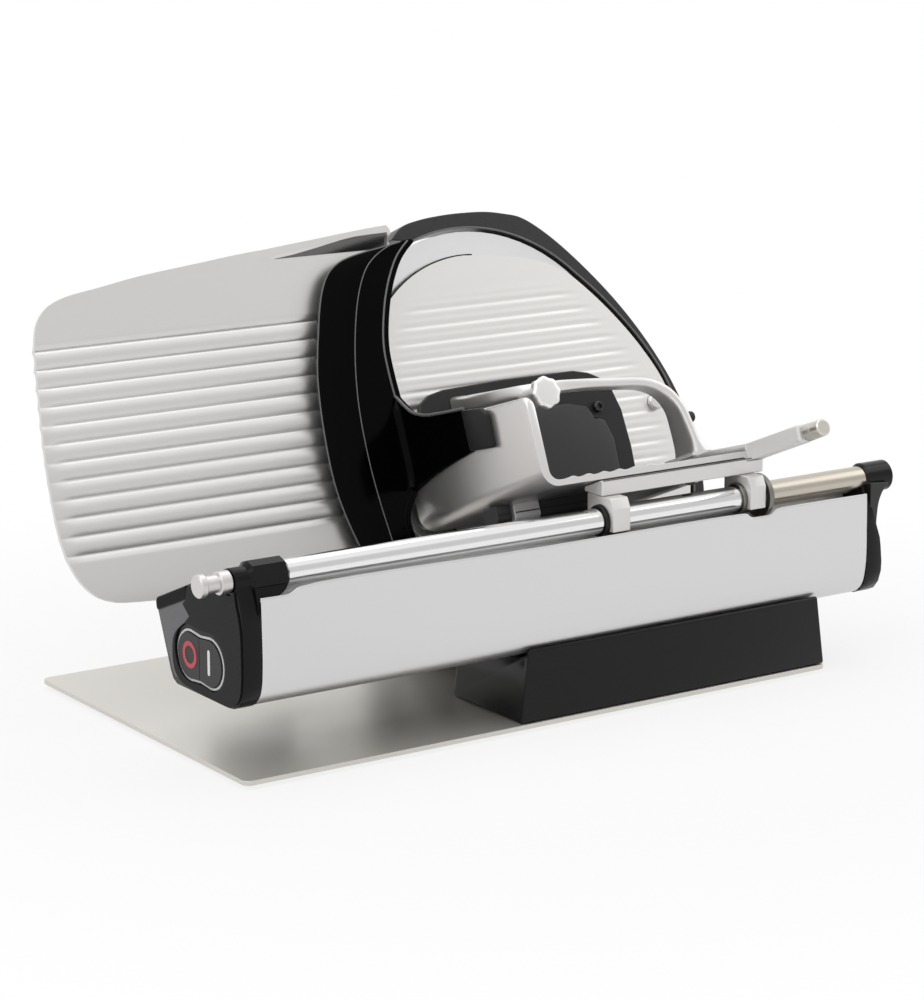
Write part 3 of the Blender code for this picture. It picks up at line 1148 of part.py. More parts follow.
def make_track():
    track = block("roller_track", TRACK_X, TRACK_D, TRACK_S, LEAN, "steel")
    soften(track, 0.6, 1)
    mid = (TRACK_D[0] + TRACK_D[1]) / 2
    half = ROLLER_W / 2
    axle_s = TRACK_S[1] + SEAT + ROLLER_R
    at = (ROLLER_X, mid, axle_s)
    profile = [(ROLLER_PIN_R + BORE_GAP, half), (ROLLER_R - 0.4, half), (ROLLER_R, half - 0.4),
               (ROLLER_R, 0.4 - half), (ROLLER_R - 0.4, -half), (ROLLER_PIN_R + BORE_GAP, -half)]
    turned("guide_roller", profile, at, "in", LEAN, "black_matte", True, 24)
    side = half + 0.4
    top = FLOOR_LOW - SEAT
    fork = block("roller_fork", (ROLLER_X - FORK_L / 2, ROLLER_X + FORK_L / 2),
                 (mid - side - FORK_W, mid + side + FORK_W), (axle_s - 2.6, top), LEAN, "cast_silver")
    room = block("fork_room", (ROLLER_X - FORK_L, ROLLER_X + FORK_L), (mid - side, mid + side),
                 (axle_s - 9.0, top - FORK_CROWN), LEAN)
    cut(fork, room)
    pin = rod("fork_pin", ROLLER_PIN_R, -side - 1.0, side + 1.0, at, "in", LEAN, steps=16)
    fuse(fork, pin)


def make_hand_guard():
    """A shield that stands before the blade's edge and turns along the tray's wall."""
    guard = slab("hand_guard", GUARD_OUTLINE, "xz", GUARD_D[0], GUARD_D[1], LEAN, "black_gloss")
    soften(guard, GUARD_EDGE, 2, 60.0)
    round_off(guard)
    side = slab("guard_side", GUARD_SIDE, "yz", GUARD_SIDE_X[0], GUARD_SIDE_X[1], LEAN)
    fuse(guard, side)
    bracket = slab("guard_bracket", BRACKET_OUTLINE, "yz", BRACKET_X[0], BRACKET_X[1], LEAN, "black_matte")
    soften(bracket, BRACKET_EDGE, 2, 30.0)


def ring_points(center, wide, thick, count):
    """A rounded rectangle across a path, from its half width and half thickness."""
    c, w, t = Vector(center), Vector(wide), Vector(thick)
    k = ARCH_CORNER_SHARE
    corners = [(1, 0), (1, k), (k, 1), (0, 1), (-k, 1), (-1, k), (-1, 0), (-1, -k), (-k, -1), (0, -1), (k, -1),
               (1, -k)]
    return [(c + a * w + b * t) * MM for a, b in corners[:count]]


def make_pusher_arm():
    """A cast arch, lofted from its foot on the hub over the tray to the pusher plate."""
    origin = Vector((RAIL_X, HUB_D[0], RAIL_S))
    loft = bmesh.new()
    rings = []
    for center, wide, thick in ARCH:
        points = ring_points(Vector(center) - origin, wide, thick, 12)
        rings.append([loft.verts.new(p) for p in points])
    for a, b in zip(rings, rings[1:]):
        for i in range(len(a)):
            j = (i + 1) % len(a)
            loft.faces.new((a[i], a[j], b[j], b[i]))
    loft.faces.new(list(reversed(rings[0])))
    loft.faces.new(rings[-1])
    bmesh.ops.recalc_face_normals(loft, faces=loft.faces)
    mesh = bpy.data.meshes.new("pusher_arm")
    loft.to_mesh(mesh)
    loft.free()
    arm = finish(bpy.data.objects.new("pusher_arm", mesh), "cast_silver")
    place(arm, LEAN, origin)
    round_off(arm, 60.0)
    x, d, s = LOBE_KNOB
    face = d + LOBE_COLLAR_T + SEAT
    boss = rod("arch_boss", ARCH_BOSS_R, face, ARCH_BOSS_D, (x, 0.0, s), "in", LEAN, edge=1.0)
    fuse(arm, boss)
    stem_hole = rod("arch_hole", LOBE_STEM_R + BORE_GAP, face - 2.0, d + LOBE_STEM_L + 0.6, (x, 0.0, s), "in",
                    LEAN, steps=20)
    cut(arm, stem_hole)
    return arm


def make_pusher():
    low = RAIL_LOW + RAIL_WALL - 0.4 + 0.5
    hub = block("pusher_hub", (RAIL_X - HUB_HALF, RAIL_X + HUB_HALF), HUB_D, (low, HUB_TOP), LEAN,
                "cast_silver")
    cap = block("hub_flange", (RAIL_X - HUB_FLANGE, RAIL_X + HUB_FLANGE), (HUB_D[0] - 0.4, HUB_D[1] + 0.4),
                (RAIL_TOP + 0.4, HUB_TOP - 0.1), LEAN)
    fuse(hub, cap)
    cut(hub, rod("hub_bore", RAIL_R + RAIL_CLEAR, HUB_D[0] - 5, HUB_D[1] + 5, (RAIL_X, 0.0, RAIL_S), "in",
                 LEAN, steps=24))
    make_pusher_arm()
    plate = slab("pusher_plate", PLATE_OUTLINE, "xz", PLATE_D[0], PLATE_D[1], LEAN, "black_matte")
    soften(plate, 0.8, 1, 60.0)
    columns = int((SPIKE_X[1] - SPIKE_X[0]) / SPIKE_PITCH) + 1
    rows = int((SPIKE_S[1] - SPIKE_S[0]) / SPIKE_PITCH) + 1
    for i in range(columns):
        for j in range(rows):
            at = (SPIKE_X[0] + i * SPIKE_PITCH, PLATE_D[1] - SPIKE_SINK, SPIKE_S[0] + j * SPIKE_PITCH)
            spike = turned("spike", [(0, SPIKE_H), (SPIKE_R, 0), (0, 0)], at, "in", LEAN, steps=6)
            fuse(plate, spike)
    pad = slab("plate_pad", PAD_OUTLINE, "xz", PAD_D[0], PAD_D[1], LEAN, "pad_grey")
    soften(pad, PAD_EDGE, 2, 30.0)


def make_rail_rod():
    at = (RAIL_X, ARM_D - SEAT, RAIL_S)
    length = RAIL_LUG_D[1] - 2.4 - at[1]
    e = PIN_EDGE
    profile = [(0, length), (RAIL_R, length), (RAIL_R, 0), (PIN_R - e, 0), (PIN_R, -e), (PIN_R, e - PIN_L),
               (PIN_R - e, -PIN_L), (0, -PIN_L)]
    return turned("rail_rod", profile, at, "in", LEAN, "chrome", steps=32)


def make_lobe_knob():
    """The eight-lobed clamping knob on the corner of the arch."""
    x, d, s = LOBE_KNOB
    points = []
    count = LOBES * 6
    for i in range(count):
        a = 2 * math.pi * i / count
        r = LOBE_KNOB_R - LOBE_DEPTH / 2 + LOBE_DEPTH / 2 * math.cos(LOBES * a)
        points.append((x + r * math.cos(a), s + r * math.sin(a)))
    knob = slab("lobe_knob", points, "xz", d - LOBE_KNOB_T, d, LEAN, "knob_silver", (x, d, s))
    soften(knob, 1.2, 2, 60.0)
    round_off(knob, 60.0)
    collar = rod("lobe_collar", LOBE_COLLAR_R, -1.0, LOBE_COLLAR_T, (x, d, s), "in", LEAN, edge=0.6)
    stem = rod("lobe_stem", LOBE_STEM_R, 0.0, LOBE_STEM_L, (x, d, s), "in", LEAN, steps=20)
    fuse(knob, collar, stem)
    x, d, s = BUMPER_AT
    rod("bumper", BUMPER_R, SEAT, BUMPER_T, (x, d, s), "x", LEAN, "rubber", 0.8, 20)


LOOKS = {
    "steel": ((0.72, 0.71, 0.69), 0.16, 1.0), "chrome": ((0.82, 0.82, 0.82), 0.08, 1.0),
    "blade": ((0.78, 0.78, 0.78), 0.18, 1.0), "gauge": ((0.72, 0.71, 0.70), 0.30, 1.0),
    "cover": ((0.80, 0.79, 0.77), 0.35, 1.0), "cast_silver": ((0.74, 0.73, 0.72), 0.38, 1.0),
    "cast_grey": ((0.45, 0.45, 0.46), 0.50, 1.0), "panel": ((0.70, 0.69, 0.69), 0.42, 1.0),
    "black_gloss": ((0.012, 0.012, 0.013), 0.12, 0.0), "black_matte": ((0.03, 0.03, 0.03), 0.50, 0.0),
    "pad_grey": ((0.06, 0.06, 0.06), 0.45, 0.0), "rubber": ((0.02, 0.02, 0.02), 0.75, 0.0),
    "knob_silver": ((0.85, 0.84, 0.82), 0.28, 1.0), "switch_rim": ((0.75, 0.75, 0.75), 0.35, 0.0),
    "start_button": ((0.08, 0.08, 0.08), 0.35, 0.0), "stop_button": ((0.08, 0.08, 0.08), 0.35, 0.0),
    "motor": ((0.35, 0.35, 0.36), 0.45, 1.0),
}

clear_scene()
PARTS = collection("meat_slicer")
CUTTERS = collection("meat_slicer_cutters")

make_base_plate()
make_feet()
make_pedestal()
make_beam()
make_front_panel()
make_operator_cap()
make_far_cap()
make_slide_rod()
make_switch()
make_thickness_drive()
make_thickness_link()
make_gauge_guide()
make_gauge_carrier()
make_gauge_plate()
make_blade_cover()
make_ring_guard()
make_blade_frame()
make_bridge()
make_blade()
make_blade_drive()
make_motor()
make_belt()
make_drive_cover()
make_deflector()
make_tray()
make_carriage_bar()
make_track()
make_hand_guard()
make_pusher()
make_rail_rod()
make_lobe_knob()
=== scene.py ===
"""Looks of the meat slicer: materials, small fittings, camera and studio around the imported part.

Laid out as a Blender add-on and run as a script. Lengths of modifiers and beads are in metres. Places and
outlines are in shop millimetres, which run from the base plate's front left corner, as in the part's source:
(x, y, z) upright, or (x, d, s) on the leaning side, with d behind the cutting plane and s up it."""

import json
import math

import bmesh
import bpy
from mathutils import Matrix, Vector
from mathutils.geometry import tessellate_polygon

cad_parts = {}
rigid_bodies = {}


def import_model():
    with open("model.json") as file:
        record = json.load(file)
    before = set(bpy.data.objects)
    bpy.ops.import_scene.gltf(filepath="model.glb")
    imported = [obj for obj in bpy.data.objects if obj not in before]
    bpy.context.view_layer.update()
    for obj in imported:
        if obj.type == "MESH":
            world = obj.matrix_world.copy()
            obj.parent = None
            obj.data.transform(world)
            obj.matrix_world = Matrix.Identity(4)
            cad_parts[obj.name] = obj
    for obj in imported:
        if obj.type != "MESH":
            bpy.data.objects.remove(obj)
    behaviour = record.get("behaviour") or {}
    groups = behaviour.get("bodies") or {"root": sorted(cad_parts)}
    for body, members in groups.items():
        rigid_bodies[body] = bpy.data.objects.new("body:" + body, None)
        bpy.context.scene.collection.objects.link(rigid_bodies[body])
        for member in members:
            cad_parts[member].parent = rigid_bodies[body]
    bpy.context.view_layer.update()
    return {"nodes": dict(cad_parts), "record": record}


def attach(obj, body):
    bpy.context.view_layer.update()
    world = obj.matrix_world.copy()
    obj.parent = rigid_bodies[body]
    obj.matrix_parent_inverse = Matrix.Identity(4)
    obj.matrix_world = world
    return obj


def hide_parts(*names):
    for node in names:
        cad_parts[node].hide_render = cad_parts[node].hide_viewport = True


bl_info = {
    "name": "Meat slicer looks",
    "version": (1, 0, 0),
    "blender": (4, 5, 0),
    "location": "3D View > Sidebar > Slicer",
    "description": "Dresses the packed meat slicer with finishes and small fittings and sets up its studio",
    "category": "Object",
}

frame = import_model()
NODES = frame["nodes"]

SLOTS = {part["node"]: part["material_slot"] for part in frame["record"]["subparts"]}

MM = 0.001
ORIGIN_MM = Vector((228.75, 101.6127, -2.8))
TILT = math.radians(22.5)
PLANE_MM = Vector((0.0, 155.0, 87.0))
INWARD = Vector((0.0, math.cos(TILT), -math.sin(TILT)))
UPHILL = Vector((0.0, math.sin(TILT), math.cos(TILT)))

BLADE_X, BLADE_S = 298.0, 78.0
ROD_Y, ROD_Z = 15.0, 116.5


def shop(x, y, z):
    """A point given in shop millimetres, in the row frame."""
    return (Vector((x, y, z)) - ORIGIN_MM) * MM


def lean(x, d, s):
    """A point on the leaning side: x along the beam, d behind the cutting plane, s up it."""
    return (PLANE_MM + Vector((x, 0, 0)) + INWARD * d + UPHILL * s - ORIGIN_MM) * MM


LEAN_TURN = Matrix((Vector((1, 0, 0)), INWARD, UPHILL)).transposed().to_4x4()


def lean_place(x, d, s):
    """A place on the leaning side: local X along the beam, Y inward, Z uphill."""
    return Matrix.Translation(lean(x, d, s)) @ LEAN_TURN


def round_place(x, d, s):
    """A place whose Z axis stands out of the leaning side, for the blade and other rounds there."""
    return lean_place(x, d, s) @ Matrix.Rotation(math.pi / 2, 4, "X")


def along_x(x, y, z):
    """A place whose Z axis runs along the beam."""
    return Matrix.Translation(shop(x, y, z)) @ Matrix.Rotation(math.pi / 2, 4, "Y")


class SLICER_PG_finishes(bpy.types.PropertyGroup):
    """Colours and surface values of the slicer's finishes."""

    cast: bpy.props.FloatVectorProperty(
        name="Cast aluminium", description="Colour of the bead-blasted castings", subtype="COLOR",
        default=(0.73, 0.715, 0.70), min=0, max=1)
    sheet: bpy.props.FloatVectorProperty(
        name="Sheet aluminium", description="Colour of the gauge plate and front panel", subtype="COLOR",
        default=(0.92, 0.91, 0.90), min=0, max=1)
    plastic: bpy.props.FloatVectorProperty(
        name="Black plastic", description="Colour of the glossy black mouldings", subtype="COLOR",
        default=(0.006, 0.006, 0.0065), min=0, max=1)
    edge: bpy.props.FloatProperty(
        name="Edge round", description="Width of the small bevel on carried-over solids",
        default=0.0005, min=0.0001, max=0.002, unit="LENGTH")


class SLICER_PG_studio(bpy.types.PropertyGroup):
    """Camera and light of the studio."""

    azimuth: bpy.props.FloatProperty(
        name="Azimuth", description="Camera's angle round the slicer, 0 looking along +Y",
        default=math.radians(-34.27), subtype="ANGLE", unit="ROTATION")
    elevation: bpy.props.FloatProperty(
        name="Elevation", description="Camera's angle above the horizon",
        default=math.radians(13.11), subtype="ANGLE", unit="ROTATION")
    lens: bpy.props.FloatProperty(
        name="Lens", description="Focal length in millimetres on a 36 mm sensor",
        default=114.372, min=20, max=300)
    fill: bpy.props.FloatProperty(
        name="Fill", description="Strength of the even light from all round", default=0.62, min=0, max=2)
    key: bpy.props.FloatProperty(
        name="Key", description="Power of the large soft light above the left, in watts",
        default=9.0, min=0, max=100)


# Shader building


def add(tree, kind, links=None, **props):
    """A node of that kind; links maps input names or numbers to sockets or values."""
    node = tree.nodes.new(kind)
    for key, value in props.items():
        setattr(node, key, value)
    for key, value in (links or {}).items():
        socket = node.inputs[key]
        if isinstance(value, bpy.types.NodeSocket):
            tree.links.new(value, socket)
        else:
            socket.default_value = value
    return node


def calc(tree, operation, *values, **props):
    """The socket that gives a sum on sockets or numbers."""
    return add(tree, "ShaderNodeMath", dict(enumerate(values)), operation=operation, **props).outputs[0]


def group(name, inputs, outputs):
    """A new shader node group with named sockets, with its input and output nodes."""
    tree = bpy.data.node_groups.new(name, "ShaderNodeTree")
    for label, kind, value in inputs:
        socket = tree.interface.new_socket(name=label, in_out="INPUT", socket_type=kind)
        if value is not None:
            socket.default_value = value
    for label, kind in outputs:
        tree.interface.new_socket(name=label, in_out="OUTPUT", socket_type=kind)
    return tree, tree.nodes.new("NodeGroupInput"), tree.nodes.new("NodeGroupOutput")


VALUE, VECTOR, COLOR = "NodeSocketFloat", "NodeSocketVector", "NodeSocketColor"


def give_grain(tree, noise, given, out):
    """Gives a noise out as a tint round 1, a roughness shift round 0 and a height."""
    centred = calc(tree, "SUBTRACT", noise.outputs["Fac"], 0.5)
    tint = calc(tree, "MULTIPLY_ADD", centred, given.outputs["Tint"], 1.0)
    shift = calc(tree, "MULTIPLY", centred, given.outputs["Shift"])
    grey = add(tree, "ShaderNodeCombineColor", {0: tint, 1: tint, 2: tint})
    tree.links.new(grey.outputs[0], out.inputs["Tint"])
    tree.links.new(shift, out.inputs["Shift"])
    tree.links.new(noise.outputs["Fac"], out.inputs["Height"])


def grain_group():
    """Fine random grain: a tint round 1, a roughness shift round 0 and a height."""
    tree, given, out = group(
        "fine_grain",
        [("Vector", VECTOR, None), ("Scale", VALUE, 900.0), ("Tint", VALUE, 0.05), ("Shift", VALUE, 0.05)],
        [("Tint", COLOR), ("Shift", VALUE), ("Height", VALUE)])
    noise = add(tree, "ShaderNodeTexNoise", {
        "Vector": given.outputs["Vector"], "Scale": given.outputs["Scale"], "Detail": 3.0, "Roughness": 0.6})
    give_grain(tree, noise, given, out)


def smudge_group():
    """Broad soft patches, as handling and wiping leave: a roughness shift round 0."""
    tree, given, out = group(
        "wiped_patches", [("Vector", VECTOR, None), ("Scale", VALUE, 14.0), ("Amount", VALUE, 0.06)],
        [("Shift", VALUE)])
    noise = add(tree, "ShaderNodeTexNoise", {
        "Vector": given.outputs["Vector"], "Scale": given.outputs["Scale"], "Detail": 4.0, "Distortion": 0.6})
    mask = add(tree, "ShaderNodeMapRange", {
        "Value": noise.outputs["Fac"], "From Min": 0.38, "From Max": 0.66})
    centred = calc(tree, "SUBTRACT", mask.outputs[0], 0.5)
    tree.links.new(calc(tree, "MULTIPLY", centred, given.outputs["Amount"]), out.inputs["Shift"])


def brushed_group():
    """Long fine lines along X of the vector given: a tint, a roughness shift and a height."""
    tree, given, out = group(
        "brushed_lines",
        [("Vector", VECTOR, None), ("Length", VALUE, 18.0), ("Fineness", VALUE, 2600.0),
         ("Tint", VALUE, 0.06), ("Shift", VALUE, 0.10)],
        [("Tint", COLOR), ("Shift", VALUE), ("Height", VALUE)])
    stretch = add(tree, "ShaderNodeCombineXYZ", {
        0: given.outputs["Length"], 1: given.outputs["Fineness"], 2: given.outputs["Fineness"]})
    scaled = add(tree, "ShaderNodeVectorMath", {0: given.outputs["Vector"], 1: stretch.outputs[0]},
                 operation="MULTIPLY")
    noise = add(tree, "ShaderNodeTexNoise", {"Vector": scaled.outputs[0], "Scale": 1.0, "Detail": 2.0})
    give_grain(tree, noise, given, out)


def polar_group():
    """Turns a place into (angle, distance from the Z axis, height), for turned and ground rounds."""
    tree, given, out = group("round_the_axis", [("Vector", VECTOR, None)], [("Vector", VECTOR)])
    split = add(tree, "ShaderNodeSeparateXYZ", {0: given.outputs[0]})
    angle = calc(tree, "ARCTAN2", split.outputs[1], split.outputs[0])
    flat = add(tree, "ShaderNodeCombineXYZ", {0: split.outputs[0], 1: split.outputs[1]})
    far = add(tree, "ShaderNodeVectorMath", {0: flat.outputs[0]}, operation="LENGTH")
    turned = calc(tree, "MULTIPLY", angle, 0.05)
    joined = add(tree, "ShaderNodeCombineXYZ", {0: turned, 1: far.outputs["Value"], 2: split.outputs[2]})
    tree.links.new(joined.outputs[0], out.inputs[0])


class Finish:
    """One Principled material under construction, with its place vector."""

    def __init__(self, name, color, roughness, metallic=0.0, place=None, **sockets):
        self.material = bpy.data.materials.new(name)
        self.material.use_nodes = True
        self.tree = self.material.node_tree
        self.shader = self.tree.nodes["Principled BSDF"]
        self.shader.inputs["Base Color"].default_value = (*color, 1)
        self.shader.inputs["Roughness"].default_value = roughness
        self.shader.inputs["Metallic"].default_value = metallic
        for key, value in sockets.items():
            self.shader.inputs[key.replace("_", " ")].default_value = value
        self.material.diffuse_color = (*color, 1)
        self.material.roughness = roughness
        self.material.metallic = metallic
        self.color, self.roughness = color, roughness
        self.place = add(self.tree, "ShaderNodeTexCoord").outputs["Object"]
        if place is not None:
            back = place.inverted()
            self.place = add(self.tree, "ShaderNodeMapping", {
                "Vector": self.place, "Location": back.translation, "Rotation": back.to_euler()}).outputs[0]
        self.tints, self.shifts, self.heights = [], [], []

    def use(self, name, height=0.0, **inputs):
        """Places a group with its own values; its outputs join the tint, roughness and bump."""
        node = add(self.tree, "ShaderNodeGroup", {"Vector": self.place, **inputs},
                   node_tree=bpy.data.node_groups[name])
        if "Tint" in node.outputs:
            self.tints.append(node.outputs["Tint"])
        if "Shift" in node.outputs:
            self.shifts.append(node.outputs["Shift"])
        if height:
            self.heights.append((node.outputs["Height"], height))
        return node

    def done(self):
        """Joins what the groups gave and links it to the shader."""
        if self.tints:
            color = add(self.tree, "ShaderNodeRGB").outputs[0]
            color.default_value = (*self.color, 1)
            for tint in self.tints:
                mixed = add(self.tree, "ShaderNodeMix", data_type="RGBA", blend_type="MULTIPLY")
                mixed.inputs[0].default_value = 1.0
                self.tree.links.new(color, mixed.inputs[6])
                self.tree.links.new(tint, mixed.inputs[7])
                color = mixed.outputs[2]
            self.tree.links.new(color, self.shader.inputs["Base Color"])
        if self.shifts:
            rough = self.shifts[0]
            for shift in self.shifts[1:]:
                rough = calc(self.tree, "ADD", rough, shift)
            rough = calc(self.tree, "ADD", rough, self.roughness, use_clamp=True)
            self.tree.links.new(rough, self.shader.inputs["Roughness"])
        normal = None
        for height, distance in self.heights:
            bump = add(self.tree, "ShaderNodeBump", {"Height": height, "Distance": distance, "Strength": 1.0})
            if normal is not None:
                self.tree.links.new(normal, bump.inputs["Normal"])
            normal = bump.outputs[0]
        if normal is not None:
            self.tree.links.new(normal, self.shader.inputs["Normal"])
        return self.material


def make_materials(finishes):
    """Every finish, by the record's slot name, with extra ones for marks and small fittings."""
    for build in (grain_group, smudge_group, brushed_group, polar_group):
        build()
    plastic = tuple(finishes.plastic)
    made = {}

    def cast(name, color, roughness, coarse, metallic=0.55):
        """Bead-blasted castings; coarse scales the grain's height."""
        look = Finish(name, color, roughness, metallic)
        look.use("fine_grain", height=0.00004 * coarse, Scale=1500.0, Tint=0.10, Shift=0.16)
        look.use("wiped_patches", Scale=11.0, Amount=0.07)
        made[name] = look.done()

    cast("cast_silver", tuple(finishes.cast), 0.46, 1.0)
    cast("cast_light", (0.78, 0.77, 0.76), 0.50, 1.0, 0.12)
    cast("cast_grey", (0.33, 0.33, 0.335), 0.50, 2.5)

    def rolled(name, color, roughness, place, length, fine, metallic=1.0, tint=0.05, shift=0.12):
        """Sheet and bar with long fine lines along X of the place."""
        look = Finish(name, color, roughness, metallic, place)
        look.use("brushed_lines", height=0.000003, Length=length, Fineness=fine, Tint=tint, Shift=shift)
        look.use("wiped_patches", Scale=7.0, Amount=0.05)
        made[name] = look.done()

    rolled("panel", (0.61, 0.60, 0.595), 0.55, None, 12.0, 1800.0, metallic=0.75)
    # A lighter, nearly non-metal copy of the panel finish for the gutter under the rod: painted light against
    # the rod's shade.
    rolled("panel_painted_light", (0.80, 0.795, 0.79), 0.55, None, 12.0, 1800.0, metallic=0.1)
    rolled("base_steel", (0.68, 0.66, 0.61), 0.34, None, 9.0, 3000.0, metallic=0.6, tint=0.05, shift=0.08)
    # A darker copy of the nickel finish for the right bush: painted shade.
    rolled("nickel_painted_shade", (0.22, 0.21, 0.19), 0.36, None, 30.0, 2600.0, tint=0.10, shift=0.16)
    side = lean_place(0, 0, 0)
    rolled("gauge", tuple(finishes.sheet), 0.38, side, 14.0, 2200.0, metallic=0.9)
    rolled("lip_shade", (0.145, 0.14, 0.14), 0.30, side, 14.0, 2200.0, metallic=0.9)
    rolled("steel", (0.64, 0.62, 0.58), 0.26, None, 9.0, 3000.0, tint=0.04, shift=0.10)
    rolled("nickel", (0.66, 0.635, 0.58), 0.34, None, 30.0, 2600.0, tint=0.10, shift=0.16)

    def ground(name, color, roughness, place, fine, tint, shift, bump=0.000002):
        """Turned or ground metal with fine rings round the place's Z axis."""
        look = Finish(name, color, roughness, 1.0, place)
        polar = add(look.tree, "ShaderNodeGroup", node_tree=bpy.data.node_groups["round_the_axis"])
        look.tree.links.new(look.place, polar.inputs[0])
        look.use("brushed_lines", height=bump, Vector=polar.outputs[0], Length=40.0, Fineness=fine, Tint=tint,
                 Shift=shift)
        look.use("wiped_patches", Scale=9.0, Amount=0.05)
        made[name] = look.done()

    disc = round_place(BLADE_X, 0, BLADE_S)
    ground("blade", (0.83, 0.83, 0.835), 0.32, disc, 3400.0, 0.03, 0.05, bump=0.0000006)
    ground("cover", (0.88, 0.87, 0.86), 0.38, disc, 2400.0, 0.05, 0.12)
    rod = along_x(0, ROD_Y, ROD_Z)
    ground("chrome", (0.37, 0.37, 0.385), 0.27, rod, 2600.0, 0.03, 0.04, bump=0.0000008)
    # A warmer, brighter copy of the chrome for the rod's right end: painted reflection.
    ground("rod_painted_reflection", (0.53, 0.49, 0.42), 0.24, rod, 2600.0, 0.03, 0.04, bump=0.0000008)
    ground("knob_silver", (0.66, 0.635, 0.63), 0.38, rod, 5200.0, 0.10, 0.14)

    def glossy(name, color, roughness, shine):
        """Shiny black mouldings; shine is the strength of their reflection."""
        look = Finish(name, color, roughness, Specular_IOR_Level=shine)
        look.use("fine_grain", height=0.000006, Scale=420.0, Tint=0.3, Shift=0.05)
        look.use("wiped_patches", Scale=12.0, Amount=0.07)
        made[name] = look.done()

    glossy("black_gloss", plastic, 0.15, 0.22)
    glossy("cap_gloss", plastic, 0.20, 0.16)
    # The first of these is a lighter grey copy of the black plastic for the near cap's rear face: painted
    # reflection of the floor.
    for name, share, roughness, shine in (("cap_rear_painted_reflection", 13.0, 0.22, 0.6), ("cap_satin", 2.0, 0.30, 0.07),
                                          ("shield_gloss", 0.2, 0.14, 0.05)):
        glossy(name, tuple(share * c for c in plastic), roughness, shine)
    glossy("ring_satin", (0.050, 0.048, 0.049), 0.32, 0.15)
    # A grey copy of the glossy black for thin beads along rounded black edges: painted highlights.
    glossy("painted_edge_highlight", (0.13, 0.13, 0.13), 0.30, 0.5)

    def moulded(name, color, roughness, scale, bump, shine=0.5):
        """Dull mouldings, rubber, paint and printed marks with a grain of that scale and height."""
        look = Finish(name, color, roughness, Specular_IOR_Level=shine)
        look.use("fine_grain", height=bump, Scale=scale, Tint=0.25, Shift=0.12)
        look.use("wiped_patches", Scale=15.0, Amount=0.08)
        made[name] = look.done()

    moulded("black_matte", (0.015, 0.015, 0.015), 0.48, 1300.0, 0.00003, 0.22)
    moulded("plate_black", (0.016, 0.016, 0.0165), 0.40, 1300.0, 0.00003, 0.30)
    moulded("pad_grey", (0.038, 0.038, 0.039), 0.42, 1100.0, 0.00004, 0.30)
    moulded("rubber", (0.016, 0.016, 0.016), 0.70, 1600.0, 0.00006)
    moulded("switch_rim", (0.62, 0.62, 0.62), 0.35, 1800.0, 0.00001)
    moulded("switch_black", (0.022, 0.021, 0.021), 0.50, 1500.0, 0.00002, 0.35)
    moulded("motor", (0.10, 0.10, 0.105), 0.45, 900.0, 0.00005)
    moulded("mark_red", (0.50, 0.035, 0.055), 0.40, 1500.0, 0.00001)
    moulded("mark_white", (0.80, 0.79, 0.78), 0.40, 1500.0, 0.00001)
    return made


# Mesh building


def round_edges(piece, width, segments, limit):
    """Bevels the edges that turn by more than limit degrees."""
    bevel = piece.modifiers.new("edges", "BEVEL")
    bevel.width, bevel.segments = width, segments
    bevel.limit_method, bevel.angle_limit = "ANGLE", math.radians(limit)
    bevel.harden_normals = True
    return bevel


def dress(name, material, edge):
    """Keeps a CAD node, welds its facets, rounds its edges with modifiers and gives it its finish."""
    node = NODES[name]
    mesh = node.data
    for attribute in ("custom_normal", "sharp_edge", "sharp_face"):
        if attribute in mesh.attributes:
            mesh.attributes.remove(mesh.attributes[attribute])
    mesh.polygons.foreach_set("use_smooth", [True] * len(mesh.polygons))
    mesh.materials.clear()
    mesh.materials.append(material)
    weld = node.modifiers.new("weld", "WELD")
    weld.merge_threshold = 0.00001
    if name not in WITH_SLOTS:
        flat = node.modifiers.new("flat_faces", "DECIMATE")
        flat.decimate_type = "DISSOLVE"
        flat.angle_limit = math.radians(0.4)
    bevel = round_edges(node, edge, 2, 28.0)
    bevel.use_clamp_overlap = True
    bevel.miter_outer = "MITER_ARC"


def new_piece(name, mesh, material, body, edge=0.0, segments=3, limit=40.0):
    """A new visible piece on a CAD body; edge rounds its corners with a bevel of that width."""
    piece = bpy.data.objects.new(name, mesh)
    bpy.context.scene.collection.objects.link(piece)
    mesh.polygons.foreach_set("use_smooth", [True] * len(mesh.polygons))
    mesh.materials.append(bpy.data.materials[material])
    if edge:
        round_edges(piece, edge, segments, limit)
    else:
        mesh.set_sharp_from_angle(angle=math.radians(limit))
    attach(piece, body)
    return piece


def stands_for(piece, *nodes):
    """Hides these nodes, which the piece stands in for."""
    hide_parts(*nodes)
    return piece


def mesh_of(name, verts, faces, outward=True):
    """A mesh from points and faces, welded; a closed one has its faces turned outward."""
    mesh = bpy.data.meshes.new(name)
    mesh.from_pydata([tuple(v) for v in verts], [], faces)
    solid = bmesh.new()
    solid.from_mesh(mesh)
    bmesh.ops.remove_doubles(solid, verts=solid.verts, dist=0.000004)
    if outward:
        bmesh.ops.recalc_face_normals(solid, faces=solid.faces)
    solid.to_mesh(mesh)
    solid.free()
    return mesh


def bounded(value, low=0.0, high=1.0):
    """The value, or the nearer end of the range where it lies outside."""
    return min(high, max(low, value))


def spread(low, high, count):
    """Even steps from low to high, both ends with them."""
    return [low + (high - low) * i / count for i in range(count + 1)]


def stations(start, *runs):
    """Levels from start up through runs of (end, steps), with even steps in each run."""
    found = [start]
    for end, steps in runs:
        found += spread(found[-1], end, steps)[1:]
    return found


def round_turn(count):
    """Even angles once round, in radians."""
    return [2 * math.pi * k / count for k in range(count)]


def arc(center, radius, start, end, count):
    """Points on an arc in degrees, both ends with it."""
    turns = [math.radians(angle) for angle in spread(start, end, count)]
    return [(center[0] + radius * math.cos(a), center[1] + radius * math.sin(a)) for a in turns]


